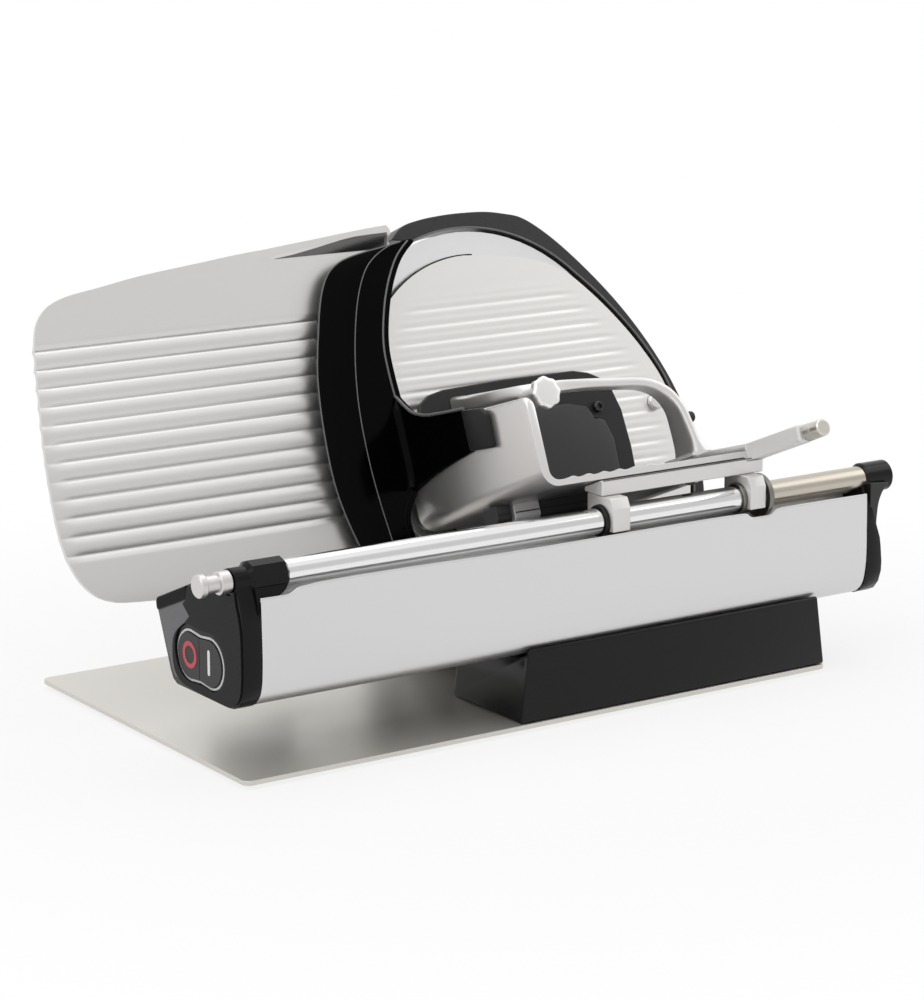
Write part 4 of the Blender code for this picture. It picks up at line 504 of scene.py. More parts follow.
def flowing(points, steps=6, corners=(), closed=False):
    """A rounded run of points through those given; the numbered ones stay corners."""
    count = len(points)
    vectors = [Vector(p) for p in points]
    spans = count if closed else count - 1
    found = []
    for i in range(spans):
        p1, p2 = vectors[i], vectors[(i + 1) % count]
        p0 = vectors[i - 1] if closed or i else p1
        p3 = vectors[(i + 2) % count] if closed or i + 2 < count else p2
        if i in corners or (not closed and i == 0):
            p0 = p1 * 2 - p2
        if (i + 1) % count in corners or (not closed and i + 2 >= count):
            p3 = p2 * 2 - p1
        t0 = 0.0
        t1 = t0 + max((p1 - p0).length, 1e-9) ** 0.5
        t2 = t1 + max((p2 - p1).length, 1e-9) ** 0.5
        t3 = t2 + max((p3 - p2).length, 1e-9) ** 0.5
        for k in range(steps):
            t = t1 + (t2 - t1) * k / steps
            a1 = p0 * ((t1 - t) / (t1 - t0)) + p1 * ((t - t0) / (t1 - t0))
            a2 = p1 * ((t2 - t) / (t2 - t1)) + p2 * ((t - t1) / (t2 - t1))
            a3 = p2 * ((t3 - t) / (t3 - t2)) + p3 * ((t - t2) / (t3 - t2))
            b1 = a1 * ((t2 - t) / (t2 - t0)) + a2 * ((t - t0) / (t2 - t0))
            b2 = a2 * ((t3 - t) / (t3 - t1)) + a3 * ((t - t1) / (t3 - t1))
            found.append(b1 * ((t2 - t) / (t2 - t1)) + b2 * ((t - t1) / (t2 - t1)))
    if not closed:
        found.append(vectors[-1])
    return [tuple(v) for v in found]


def level(run, height):
    """Where an open run of (value, height) points crosses that height; past its ends, the nearer end."""
    for (a, h), (b, k) in zip(run, run[1:]):
        if min(h, k) - 1e-9 <= height <= max(h, k) + 1e-9 and abs(k - h) > 1e-9:
            return a + (b - a) * (height - h) / (k - h)
    return run[0][0] if abs(height - run[0][1]) < abs(height - run[-1][1]) else run[-1][0]


def on_lean(low, high):
    """Puts an outline of (x, s) at those two depths on the leaning side."""
    return [lambda a, b, d=d: lean(a, d, b) for d in (low, high)]


def on_side(low, high):
    """Puts an outline of (y, z) at those two x."""
    return [lambda a, b, x=x: shop(x, a, b) for x in (low, high)]


def across(low, high):
    """Puts an outline of (d, s) on the leaning side at those two x."""
    return [lambda a, b, x=x: lean(x, a, b) for x in (low, high)]


def oblong(left, low, right, high):
    """A rectangle's outline."""
    return [(left, low), (right, low), (right, high), (left, high)]


def prism(name, outline, ends, material, body, edge=0.0, segments=3, limit=40.0):
    """A slab between two copies of an outline."""
    count = len(outline)
    verts = [put(a, b) for put in ends for a, b in outline]
    faces = [tuple(range(count)), tuple(range(count, 2 * count))]
    faces += [(i, (i + 1) % count, count + (i + 1) % count, count + i) for i in range(count)]
    return new_piece(name, mesh_of(name, verts, faces), material, body, edge, segments, limit)


def rings_mesh(name, rings, closed=True, caps=True, outward=True):
    """A skin over rings of points."""
    size = len(rings[0])
    verts = [v for ring in rings for v in ring]
    faces = []
    for r in range(len(rings) - 1):
        for i in range(size if closed else size - 1):
            j = (i + 1) % size
            faces.append((r * size + i, r * size + j, (r + 1) * size + j, (r + 1) * size + i))
    if caps:
        faces += [tuple(range(size)), tuple(range((len(rings) - 1) * size, len(rings) * size))]
    return mesh_of(name, verts, faces, outward)


def bead(name, path, radius, material, body, sides):
    """A round bead swept along a path of points on the leaning side."""
    rings = []
    for before, point, after in zip([path[0]] + path[:-1], path, path[1:] + [path[-1]]):
        along = (after - before).normalized()
        across = along.cross(INWARD).normalized()
        rise = across.cross(along)
        turn = [across * math.cos(a) + rise * math.sin(a) for a in round_turn(sides)]
        rings.append([point + outward * radius for outward in turn])
    return new_piece(name, rings_mesh(name, rings), material, body)


def pierced(name, loops, ends, material, body, edge=0.0, segments=3, limit=40.0):
    """A slab between two copies of an outline with holes in it; the outline is the first loop."""
    flat = [point for loop in loops for point in loop]
    parts = tessellate_polygon([[Vector((a, b, 0)) for a, b in loop] for loop in loops])
    count = len(flat)
    verts = [put(a, b) for put in ends for a, b in flat]
    faces = [tuple(part) for part in parts] + [tuple(i + count for i in reversed(part)) for part in parts]
    start = 0
    for loop in loops:
        size = len(loop)
        for i in range(size):
            a, b = start + i, start + (i + 1) % size
            faces.append((a, b, count + b, count + a))
        start += size
    return new_piece(name, mesh_of(name, verts, faces), material, body, edge, segments, limit)


def smooth_rows(rows, steps):
    """Rows of numbers between those given, on a smooth run through them."""
    found = []
    for i in range(len(rows) - 1):
        around = [rows[max(0, i - 1)], rows[i], rows[i + 1], rows[min(len(rows) - 1, i + 2)]]
        for k in range(steps):
            t = k / steps
            found.append([0.5 * (2 * b + (c - a) * t + (2 * a - 5 * b + 4 * c - e) * t * t
                                 + (3 * b - a - 3 * c + e) * t ** 3) for a, b, c, e in zip(*around)])
    found.append(list(rows[-1]))
    return found


def ease(t):
    """Smooth rise from 0 to 1, flat outside."""
    t = bounded(t)
    return t * t * (3 - 2 * t)


def lathe(name, profile, place, material, body, steps=72, limit=32.0):
    """Turns a profile of (radius, height) in millimetres about the Z axis of a place."""
    turn = [(math.cos(a), math.sin(a)) for a in round_turn(steps)]
    rings = [[place @ (Vector((radius * u, radius * v, height)) * MM) for u, v in turn]
             for radius, height in profile]
    return new_piece(name, rings_mesh(name, rings, caps=False), material, body, limit=limit)


def sheet_piece(name, rows, material, body, thickness, edge=0.0):
    """A thin piece from a grid of points, thickened away from the side that its faces show."""
    mesh = rings_mesh(name, rows, closed=False, caps=False, outward=False)
    piece = new_piece(name, mesh, material, body)
    solid = piece.modifiers.new("thickness", "SOLIDIFY")
    solid.thickness, solid.offset = thickness, -1.0
    solid.use_even_offset = True
    if edge:
        round_edges(piece, edge, 2, 50.0)
    return piece


# The right bush takes the darker copy of the nickel: painted shade.
OWN_LOOK = {"operator_cap": "cap_gloss", "far_cap": "black_gloss", "ring_guard": "shield_gloss",
            "hand_guard": "shield_gloss", "rail_rod": "nickel", "bush_right": "nickel_painted_shade",
            "base_plate": "base_steel", "pusher_plate": "plate_black"}
WITH_SLOTS = ("drive_cover",)
OWN_EDGE = {"pedestal": 0.0026, "clamp_left": 0.0012, "clamp_right": 0.0012}


class SlicerStep(bpy.types.Operator):
    """Shared start of the slicer's operators."""

    bl_options = {"REGISTER", "UNDO"}


class SLICER_OT_finishes(SlicerStep):
    """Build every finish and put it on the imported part's pieces"""

    bl_idname = "slicer.finishes"
    bl_label = "Finishes"

    def execute(self, context):
        finishes = context.scene.slicer_finishes
        made = make_materials(finishes)
        for name in sorted(NODES):
            dress(name, made[OWN_LOOK.get(name, SLOTS[name])], OWN_EDGE.get(name, finishes.edge))
        return {"FINISHED"}


# The panel's and gutter's lines are (y, z); the crest is (height, x) along the panel's top edge.
PANEL_LINE = [(19.0, 42.2), (12.5, 43.2), (7.2, 46.0), (3.3, 50.6), (1.1, 57.5), (0.2, 66.0),
              (0.0, 76.0), (0.3, 87.0), (0.5, 95.0), (0.7, 100.0), (0.9, 104.0), (1.1, 106.2),
              (1.5, 107.0), (1.9, 106.8), (2.3, 105.6), (3.6, 105.3), (4.6, 105.0), (6.6, 104.7),
              (9.2, 103.2), (13.0, 101.9), (20.5, 102.2), (23.6, 103.7), (24.9, 105.9)]
PANEL_LEFT, PANEL_RIGHT, PANEL_TOP = 12.3, 459.1, 107.0
CREST = [(107.9, PANEL_LEFT), (107.9, 31.0), (109.4, 34.5), (110.8, 37.5), (110.6, 200.0), (110.2, 356.0),
         (109.6, 361.5), (107.2, 365.0), (106.5, 369.0), (106.5, 377.0), (107.2, 381.0), (109.4, 384.5),
         (110.0, 388.5), (109.8, PANEL_RIGHT)]
CREST_FROM, CREST_RISE, CREST_BACK = 92.0, 14.0, 2.0
GUTTER_LINE = [(2.6, 105.5), (3.6, 105.4), (6.6, 104.8), (9.2, 103.3), (13.0, 102.0), (20.5, 102.3),
               (23.5, 103.8), (24.8, 105.9)]
GUTTER_X, GUTTER_LIFT = (12.8, 235.0, 458.6), 0.05
ROD_R, ROD_EDGE, ROD_STEPS = 8.0, 0.8, 128
ROD_START, ROD_JOIN, ROD_END = 20.8, 384.0, 481.5


class SLICER_OT_rod(SlicerStep):
    """Build the ground slide rod and the front panel's rolled top edge below it"""

    bl_idname = "slicer.rod"
    bl_label = "Slide rod"

    def execute(self, context):
        axis = along_x(0, ROD_Y, ROD_Z)
        neck = ROD_R - ROD_EDGE
        profile = [(0, ROD_START), (neck, ROD_START), (ROD_R, ROD_START + ROD_EDGE), (ROD_R, ROD_JOIN),
                   (0, ROD_JOIN)]
        stands_for(lathe("ground_rod", profile, axis, "chrome", "frame", ROD_STEPS), "slide_rod")
        profile = [(0, ROD_JOIN), (ROD_R, ROD_JOIN), (ROD_R, ROD_END - ROD_EDGE), (neck, ROD_END),
                   (0, ROD_END)]
        # The rod's right end, past the carriage, takes the warm copy of the chrome: painted reflection.
        lathe("ground_rod_end", profile, axis, "rod_painted_reflection", "frame", ROD_STEPS)
        stands_for(self.panel(), "front_panel")
        # A thin sheet over the gutter under the rod in the lighter panel copy: painted light that lifts the
        # shade there.
        rows = [[shop(x, y, z + GUTTER_LIFT) for x in GUTTER_X] for y, z in flowing(GUTTER_LINE, 4)]
        sheet_piece("panel_gutter_painted_light", rows, "panel_painted_light", "frame", 0.0001)
        return {"FINISHED"}

    def panel(self):
        """The front panel's sheet, with its top edge raised to the crest."""
        crest = flowing(CREST, 6)
        along = [PANEL_LEFT, GUTTER_X[0], 20.0] + [x for _, x in crest if 26.0 < x < 400.0]
        along += [430.0, 458.0, GUTTER_X[-1], PANEL_RIGHT]
        tops = [level(crest, x) - PANEL_TOP for x in along]
        rows = []
        for y, z in flowing(PANEL_LINE, 4):
            share = ease((z - CREST_FROM) / CREST_RISE) if y < CREST_BACK else 0.0
            rows.append([shop(x, y, z + top * share) for x, top in zip(along, tops)])
        return sheet_piece("panel_sheet", rows, "panel", "frame", 0.0004)


GUARD_LEFT = [(172.0, -14.0), (168.0, 0.0), (163.4, 19.4), (161.0, 39.0), (161.6, 71.0), (165.1, 102.8),
              (169.4, 121.0), (172.9, 132.8), (177.2, 146.8), (183.0, 160.6), (189.7, 170.2), (198.6, 176.2),
              (206.7, 178.9), (218.6, 181.2), (230.4, 182.8), (242.0, 184.6), (252.0, 186.4)]
GUARD_FOLD = [(193.0, -14.0), (189.3, 19.2), (187.7, 48.5), (189.3, 87.1), (196.7, 125.4), (208.0, 157.0),
              (219.0, 173.0), (236.0, 183.0), (252.5, 186.4)]
GUARD_RIGHT = [(207.0, -14.0), (205.0, 7.4), (209.5, 18.0), (214.6, 25.0), (216.6, 34.0), (217.0, 60.0),
               (217.2, 84.0), (216.7, 94.0), (216.4, 105.5), (216.8, 116.4), (219.0, 128.5), (225.5, 148.4),
               (232.6, 163.2), (240.8, 175.4), (247.1, 181.5), (253.5, 186.4)]
GUARD_TOP_EDGE = [(-11.4, 86.0), (-19.0, 78.2), (-26.0, 72.3), (-39.0, 67.3), (-57.0, 64.4), (-84.0, 61.2)]
GUARD_LOW_EDGE = [(-84.0, 34.2), (-55.0, 31.8), (-34.0, 29.2), (-11.4, 25.0)]
GUARD_FACE, GUARD_REACH = 11.4, 84.0
GUARD_FALL, FALL_WIDTH = 3.2, 24.0
GUARD_BEND, BEND_LEAST = 5.0, 0.8
WING_LOW, WING_LOW_END, WING_TOP_END, WING_TOP = 25.0, 34.2, 61.2, 86.0


def guard_fall(a, b):
    """How far the guard's left edge lies behind its face, between the edge at a and the fold at b."""
    return GUARD_FALL * bounded((b - a) / FALL_WIDTH)


RING_OUTLINE = [(246.0, 189.0), (256.0, 197.0), (270.0, 200.5), (290.0, 202.4), (304.0, 202.7),
                (323.0, 202.0), (337.0, 199.6), (350.0, 196.0), (367.0, 184.0), (390.0, 160.5),
                (416.0, 126.5), (436.0, 90.0), (447.0, 58.0), (451.0, 25.0), (446.0, -12.0),
                (430.0, -36.0), (405.0, -46.0), (360.0, -49.0), (298.0, -47.6), (262.0, -41.0),
                (251.0, -36.0)]
RING_SIDE = [(398.0, -36.0), (420.0, -28.0), (437.0, -10.0), (443.6, 20.0), (442.6, 50.0), (437.4, 77.0),
             (425.0, 103.0), (410.0, 125.0), (395.0, 143.0)]
RING_BORE, RING_FACE, RING_BACK = 114.8, -1.7, 17.7
SEAM_R, SEAM_FACE, SEAM_SINK = 96.4, -2.4, 0.7


class SLICER_OT_guards(SlicerStep):
    """Build the hand guard with its fold and its wing, and the guard round the blade"""

    bl_idname = "slicer.guards"
    bl_label = "Guards"

    def execute(self, context):
        self.hand_guard()
        self.ring_guard()
        return {"FINISHED"}

    def hand_guard(self):
        """A folded shield with a bent edge, whose wing reaches out over the tray between two levels."""
        left, fold, right = (flowing(line, 8) for line in (GUARD_LEFT, GUARD_FOLD, GUARD_RIGHT))
        top, low = flowing(GUARD_TOP_EDGE, 8), flowing(GUARD_LOW_EDGE, 8)
        levels = [round(s, 3) for s in spread(-14.0, 170.0, 130) + spread(170.4, 186.4, 40)]
        levels = sorted({*levels, WING_LOW, WING_LOW_END, WING_TOP_END, WING_TOP})
        rows = []
        for s in levels:
            a, b, c = level(left, s), level(fold, s), level(right, s)
            a, b = min(a, c), min(max(b, a), c)
            fall, reach = guard_fall(a, b), self.reach(top, low, s)
            row = [lean(a + (b - a) * k / 6, -GUARD_FACE + fall * (1 - k / 6) ** 1.3, s) for k in range(7)]
            bend = bounded((reach - GUARD_FACE) * 0.6, BEND_LEAST, GUARD_BEND)
            row += [lean(x, -GUARD_FACE, s) for x in spread(b, c - bend, 6)[1:]]
            row += [lean(x, d, s) for x, d in arc((c - bend, -GUARD_FACE - bend), bend, 90, 0, 8)[1:]]
            start = GUARD_FACE + bend
            row += [lean(c, -d, s) for d in spread(start, max(reach, start + 0.4), 8)[1:]]
            rows.append(row)
        guard = sheet_piece("guard_shield", rows, "shield_gloss", "carriage", 0.0030, 0.0007)
        stands_for(guard, "hand_guard")
        # Thin grey beads along the guard's window edge, fold and left rim: painted highlights on those edges.
        crease, rim, window = [], [], [lean(216.7, d - 0.3, s + 0.1) for d, s in reversed(top)]
        for s in levels[4:-3]:
            a, b, c = level(left, s), level(fold, s), level(right, s)
            crease.append(lean(min(max(b, a), c), -GUARD_FACE - 0.1, s))
            rim.append(lean(a + 0.3, guard_fall(a, b) - GUARD_FACE, s))
            if s >= WING_TOP:
                window.append(lean(c - 0.2, -GUARD_FACE + 0.2, s))
        bead("guard_window_highlight", window, 0.0010, "painted_edge_highlight", "carriage", 10)
        bead("guard_crease_highlight", crease, 0.0004, "painted_edge_highlight", "carriage", 6)
        bead("guard_rim_highlight", rim, 0.0005, "painted_edge_highlight", "carriage", 6)

    def reach(self, top, low, s):
        """How far the guard stands out towards the user at that level."""
        if not WING_LOW < s < WING_TOP:
            return GUARD_FACE
        if s > WING_TOP_END:
            return -level(top, s)
        if s < WING_LOW_END:
            return -level(low, s)
        return GUARD_REACH

    def ring_guard(self):
        """The ring round the blade, a grey bead along its inner rim as a painted highlight, and a dark bead
        as painted shadow in the gap between cover and blade.
        """
        center = (BLADE_X, BLADE_S)
        low = arc(center, RING_BORE, 246, 290, 24)
        high = arc(center, RING_BORE, 43, 108.3, 44)
        side = flowing([low[-1], *RING_SIDE, high[0]], 6)[1:-1]
        outline = flowing(RING_OUTLINE, 6) + low + side + high
        ends = on_lean(RING_FACE, RING_BACK)
        stands_for(prism("blade_ring", outline, ends, "ring_satin", "frame", 0.0026, 3, 50.0), "ring_guard")
        # A grey bead along the ring's inner rim: painted highlight.
        inner = arc(center, RING_BORE + 0.1, 108, 44, 60) + list(reversed(side))[:-6]
        rim = [lean(x, RING_FACE + 0.1, s) for x, s in inner]
        bead("ring_inner_rim_highlight", rim, 0.0007, "painted_edge_highlight", "frame", 8)
        # A dark bead in the gap between cover and blade: painted shadow.
        seam = [lean(x, SEAM_FACE + SEAM_SINK * ease(1.0 - i / 10), s)
                for i, (x, s) in enumerate(arc(center, SEAM_R, 86, 262, 110))]
        bead("cover_seam_painted_shadow", seam, 0.0005, "rubber", "frame", 8)


CAP_MOULDING = [(63.5, 95.1), (67.1, 92.5), (59.3, 86.4), (66.2, 80.6), (75.0, 74.6), (78.9, 68.7),
                (79.8, 58.0), (77.0, 49.6), (70.0, 45.2), (59.1, 43.9), (40.0, 43.2), (18.4, 43.2),
                (12.6, 44.0), (7.6, 46.6), (3.9, 51.2), (2.0, 58.0), (1.5, 75.0), (2.1, 88.0),
                (3.8, 97.0), (6.2, 103.0)]
CAP_TOP = [(28.4, 115.6), (32.0, 115.8), (62.4, 102.8)]
GUSSET_LOW = [(11.0, 98.0), (11.2, 101.0), (11.9, 103.6), (13.8, 105.6), (17.0, 106.4), (24.0, 106.8),
              (27.5, 108.2), (31.0, 110.6)]
GUSSET_FACE = [(-0.8, 75.0), (-0.5, 88.0), (0.1, 95.0), (0.9, 101.5), (2.1, 104.6), (3.4, 108.0),
               (4.7, 113.0)]

CAP_BAND = [(99.3, 86.6), (98.4, 89.0), (63.8, 103.6), (63.8, 95.8), (98.0, 82.0), (98.8, 83.6)]
CAP_REAR = [(97.4, 81.4), (64.6, 94.8), (67.6, 92.6), (60.2, 86.4), (66.6, 81.0), (75.6, 74.8), (79.6, 68.7),
            (80.4, 58.0), (77.6, 49.4), (73.0, 46.0), (78.6, 46.2), (81.6, 49.4)]
GUSSET_LEFT, GUSSET_RIGHT, GUSSET_TOP = 11.0, 31.0, 113.0
FAR_LEG = [(463.4, 116.0), (478.5, 114.6), (473.6, 109.0), (470.9, 103.0), (469.6, 95.0), (469.2, 87.0),
           (470.6, 76.0), (472.6, 66.0), (472.8, 59.0), (471.8, 53.6), (469.0, 51.2), (463.4, 50.4)]
FAR_LEG_FALL = [(2.4, 0.0), (9.0, 3.4), (22.0, 6.6)]
SWITCH_Y, SWITCH_Z, SWITCH_REACH = 47.8, 64.6, 12.0
STOP_MARK, START_MARK_TOP, START_MARK_LOW = (59.9, 63.7), (38.0, 70.1), (38.0, 57.5)
COVER_BACK, COVER_SCREWS_X, COVER_SCREWS_Z = 247.0, (246.0, 362.0), (32.0, 138.0)
SCREW_HEAD = [(0, -0.2), (4.2, -0.2), (4.2, 0.1), (3.9, 0.5), (1.9, 0.6), (1.7, 0.1), (0, 0.1)]


def peanut(center, reach, radius, waist, count=20):
    """Two lobes side by side along y, joined by a shallow waist."""
    y, z = center
    left = arc((y - reach, z), radius, 90, 270, count)
    right = arc((y + reach, z), radius, -90, 90, count)
    return left + [(y, z - waist)] + right + [(y, z + waist)]


class SLICER_OT_ends(SlicerStep):
    """Build the mouldings on the beam's two end caps, two slabs of painted reflection on the near cap and the
    marks on the switch
    """

    bl_idname = "slicer.ends"
    bl_label = "End caps"

    def execute(self, context):
        outline = flowing(CAP_MOULDING, 5, (0, 1, 2))
        outline += [(7.4, 107.6)] + arc((ROD_Y, ROD_Z), ROD_R + 0.2, 214, 350, 20) + CAP_TOP
        hole = flowing(peanut((SWITCH_Y, SWITCH_Z), SWITCH_REACH, 17.2, 16.2), 2, closed=True)
        pierced("cap_moulding", [outline, hole], on_side(-1.1, 0.5), "cap_satin", "frame", 0.0008)
        # A darker glossy slab along the cap's top edge: painted dark reflection on that rounded edge.
        prism("cap_band_painted_dark", CAP_BAND, on_side(-0.7, 0.4), "shield_gloss", "frame", 0.0005)
        # A lighter grey slab on the rear of the cap's face: painted reflection of the floor.
        prism("cap_rear_painted_reflection", CAP_REAR, on_side(-0.25, 0.3), "cap_rear_painted_reflection", "frame", 0.0002)
        self.gusset()
        self.switch_marks()
        for i, (z, x) in enumerate((z, x) for z in COVER_SCREWS_Z for x in COVER_SCREWS_X):
            back = Matrix.Translation(shop(x, COVER_BACK, z)) @ Matrix.Rotation(-math.pi / 2, 4, "X")
            lathe(f"cover_screw_{i}", SCREW_HEAD, back, "steel", "frame", 40)
        leg = flowing(FAR_LEG, 6, (0, 1, 11), closed=True)
        rings = [[shop(x, y, z - fall * ease((60.0 - z) / 8.0)) for x, z in leg] for y, fall in FAR_LEG_FALL]
        new_piece("far_leg", rings_mesh("far_leg", rings), "black_gloss", "frame", 0.0014, 3, 50)
        return {"FINISHED"}

    def gusset(self):
        """The curved skin that runs from the cap up under its rod socket."""
        foot = [(z, x) for x, z in flowing(GUSSET_LOW, 6)]
        along = spread(GUSSET_LEFT, GUSSET_RIGHT, 28)
        lows = [level(foot, x) for x in along]
        rows = []
        for r in range(15):
            heights = [low + (GUSSET_TOP - low) * r / 14 for low in lows]
            rows.append([shop(x, level(GUSSET_FACE, z) + 0.5 - 0.5 * ease((x - GUSSET_LEFT) / 3.0), z)
                         for x, z in zip(along, heights)])
        sheet_piece("cap_gusset", rows, "cap_satin", "frame", 0.0012, 0.0004)

    def switch_marks(self):
        """The ring on the stop button and the bar on the start button."""
        ends = on_side(-1.05, -0.7)
        round_mark = [arc(STOP_MARK, radius, 0, 360 - 360 / 64, 63) for radius in (8.0, 5.3)]
        pierced("mark_round", round_mark, ends, "mark_red", "stop", 0.0001, 2)
        bar = arc(START_MARK_TOP, 1.3, 0, 180, 10) + arc(START_MARK_LOW, 1.3, 180, 360, 10)
        prism("mark_bar", bar, ends, "mark_white", "start", 0.0001, 2)


VALLEYS, VALLEY_FIRST, VALLEY_PITCH, VALLEY_DEPTH, VALLEY_SHARP = 12, 17.5, 11.4, 1.7, 0.62
VALLEY_LEFT, VALLEY_FADE = -26.0, 10.0
LIP_START, LIP_LENGTH, LIP_FOOT, LIP_CURL = 152.0, 92.0, 184.4, 4.3


def gauge_depth(x, s):
    """Depth of the gauge plate's face: narrow valleys between full ribs, and the lip at its top right."""
    depth = 0.0
    phase = (s - VALLEY_FIRST) / VALLEY_PITCH
    if -0.5 < phase < VALLEYS - 0.5:
        swell = abs(math.sin(math.pi * phase)) ** VALLEY_SHARP
        inset = ease((x - VALLEY_LEFT) / VALLEY_FADE)
        inset *= ease((phase + 0.5) * 4) * ease((VALLEYS - 0.5 - phase) * 4)
        depth = VALLEY_DEPTH * (1.0 - swell) * inset
    share = bounded((x - LIP_START) / LIP_LENGTH)
    if share > 0.0:
        depth -= LIP_CURL * share ** 0.6 * bounded((s - LIP_FOOT) / (8.2 * share ** 0.5 + 0.3))
    return depth


# The shaded wedge is (rise, x): how far it reaches up the lip, along the lip.
LIP_SHADE = [(0.2, 158.0), (1.6, 172.0), (4.4, 190.0), (7.6, 208.0), (8.8, 218.0), (9.2, 230.0), (9.4, 242.0)]
GAUGE_LEFT = [(29.0, -16.0), (0.0, -13.0), (-12.0, -7.5), (-20.0, 2.0), (-25.0, 15.0), (-27.4, 31.0),
              (-27.4, 54.0), (-25.5, 84.0), (-22.0, 114.0), (-19.5, 135.0), (-17.0, 150.0),
              (-13.0, 160.5), (-5.5, 168.5), (6.0, 173.5), (33.0, 178.0), (62.0, 182.5),
              (105.0, 187.0), (134.0, 190.0), (179.0, 193.5), (225.0, 197.5), (241.0, 198.5)]
GAUGE_CORNER = [(243.6, 188.0), (245.0, 195.0), (243.0, 198.5)]
GAUGE_FOOT = [-16.0, -15.9, -15.5, -15.0, -14.4, -13.6]
GAUGE_BORE, SHADE_FOOT, SHADE_STAND = 116.5, 184.5, 0.12


class SLICER_OT_gauge(SlicerStep):
    """Build the gauge plate with its scalloped ribs and curled lip"""

    bl_idname = "slicer.gauge"
    bl_label = "Gauge plate"

    def execute(self, context):
        left = flowing(GAUGE_LEFT, 8)
        right = arc((BLADE_X, BLADE_S), GAUGE_BORE, 234, 116.4, 80) + GAUGE_CORNER
        rows = []
        for s in GAUGE_FOOT + stations(-13.0, (11.4, 12), (148.6, 216), (168.0, 8), (198.5, 52)):
            a, b = level(left, s), level(right, max(s, right[0][1]))
            rows.append([lean(x, gauge_depth(x, s), s) for x in spread(a, b, 44)])
        stands_for(sheet_piece("gauge_sheet", rows, "gauge", "gauge", 0.0026, 0.0005), "gauge_plate")
        # A dark sheet just proud of the lip's curl: painted shade and painted reflection of the dark guard
        # there.
        rises = [(x, level(LIP_SHADE, x)) for x in spread(LIP_SHADE[0][1], LIP_SHADE[-1][1], 40)]
        rows = []
        for share in spread(0.0, 1.0, 24):
            places = [(x, SHADE_FOOT + rise * share) for x, rise in rises]
            rows.append([lean(x, gauge_depth(x, s) - SHADE_STAND, s) for x, s in places])
        sheet_piece("lip_shade", rows, "lip_shade", "gauge", 0.0001)
        return {"FINISHED"}


TRAY_LEFT, TRAY_UNDER, TRAY_FLOOR, TRAY_WALL = 218.4, -2.5, 1.2, 5.6
TRAY_TOP = [(53.6, -170.0), (53.6, -147.0), (57.4, -100.0), (59.6, -60.0), (61.0, 0.0)]
TRAY_MOUTH = [-149.0, -148.4, -147.6, -146.6, -145.2, -143.6, -142.0]
TRAY_BODY, TRAY_END = -140.0, -5.5
TRAY_OUTER_R, TRAY_INNER_R, TRAY_NOSE_R, TRAY_NOSE = 11.0, 6.5, 5.0, -144.0
RIDGES, RIDGE_FIRST, RIDGE_PITCH, RIDGE_HALF, RIDGE_RISE = 6, 240.0, 11.6, 4.6, 0.55
RAIL_LEFT, RAIL_RIGHT, RAIL_UNDER, RAIL_TOP, RAIL_WALL = 373.4, 386.6, -5.2, 9.4, 2.0
RAIL_EDGE, RAIL_FLOOR, RAIL_FALL, RAIL_FALL_FROM, RAIL_FALL_LENGTH = 0.5, 1.6, 3.8, -112.0, 37.0
TROUGH_DEPTHS = (-196.0, -190.0, -180.0, -170.0, -160.0, -150.0, -146.5)
TROUGH_UNDER, TROUGH_FLOOR, TROUGH_TOP = -5.0, -3.45, 5.6
PIN_X, PIN_R, PIN_FACE, KNURLS = 380.0, 5.2, -202.3, 96
BEARING_SIDE = [(-91.0, -2.4), (-91.0, -11.0), (-88.6, -13.4), (-78.4, -13.4), (-76.0, -11.0), (-76.0, -2.4)]
BEARINGS = (("bearing_left", 219.4, 230.4, "black_matte"), ("bearing_middle", 232.6, 252.0, "cast_light"),
            ("bearing_right", 253.2, 298.0, "black_matte"))
BEARING_GROOVE, GROOVE_END = (-91.25, -8.2, -90.8, -7.4), 0.8
ARM_BOSS_DEPTHS, LUG_DEPTHS, LUG_LOW, LUG_TOP, LUG_INSET = (-201.8, -189.8), (-19.0, -8.0), -4.0, 8.2, 1.2
BAR_LINE, BAR_LINE_X = (12.9, 141.1, 13.2, 141.5), (258.9, 382.0)
BAR_SCREW = [(0, -0.6), (3.4, -0.6), (3.4, 2.2), (2.8, 2.9), (1.6, 3.1), (1.5, 1.6), (0, 1.6)]
BAR_SCREW_PLACE = (330.7, 20.0, 131.8)


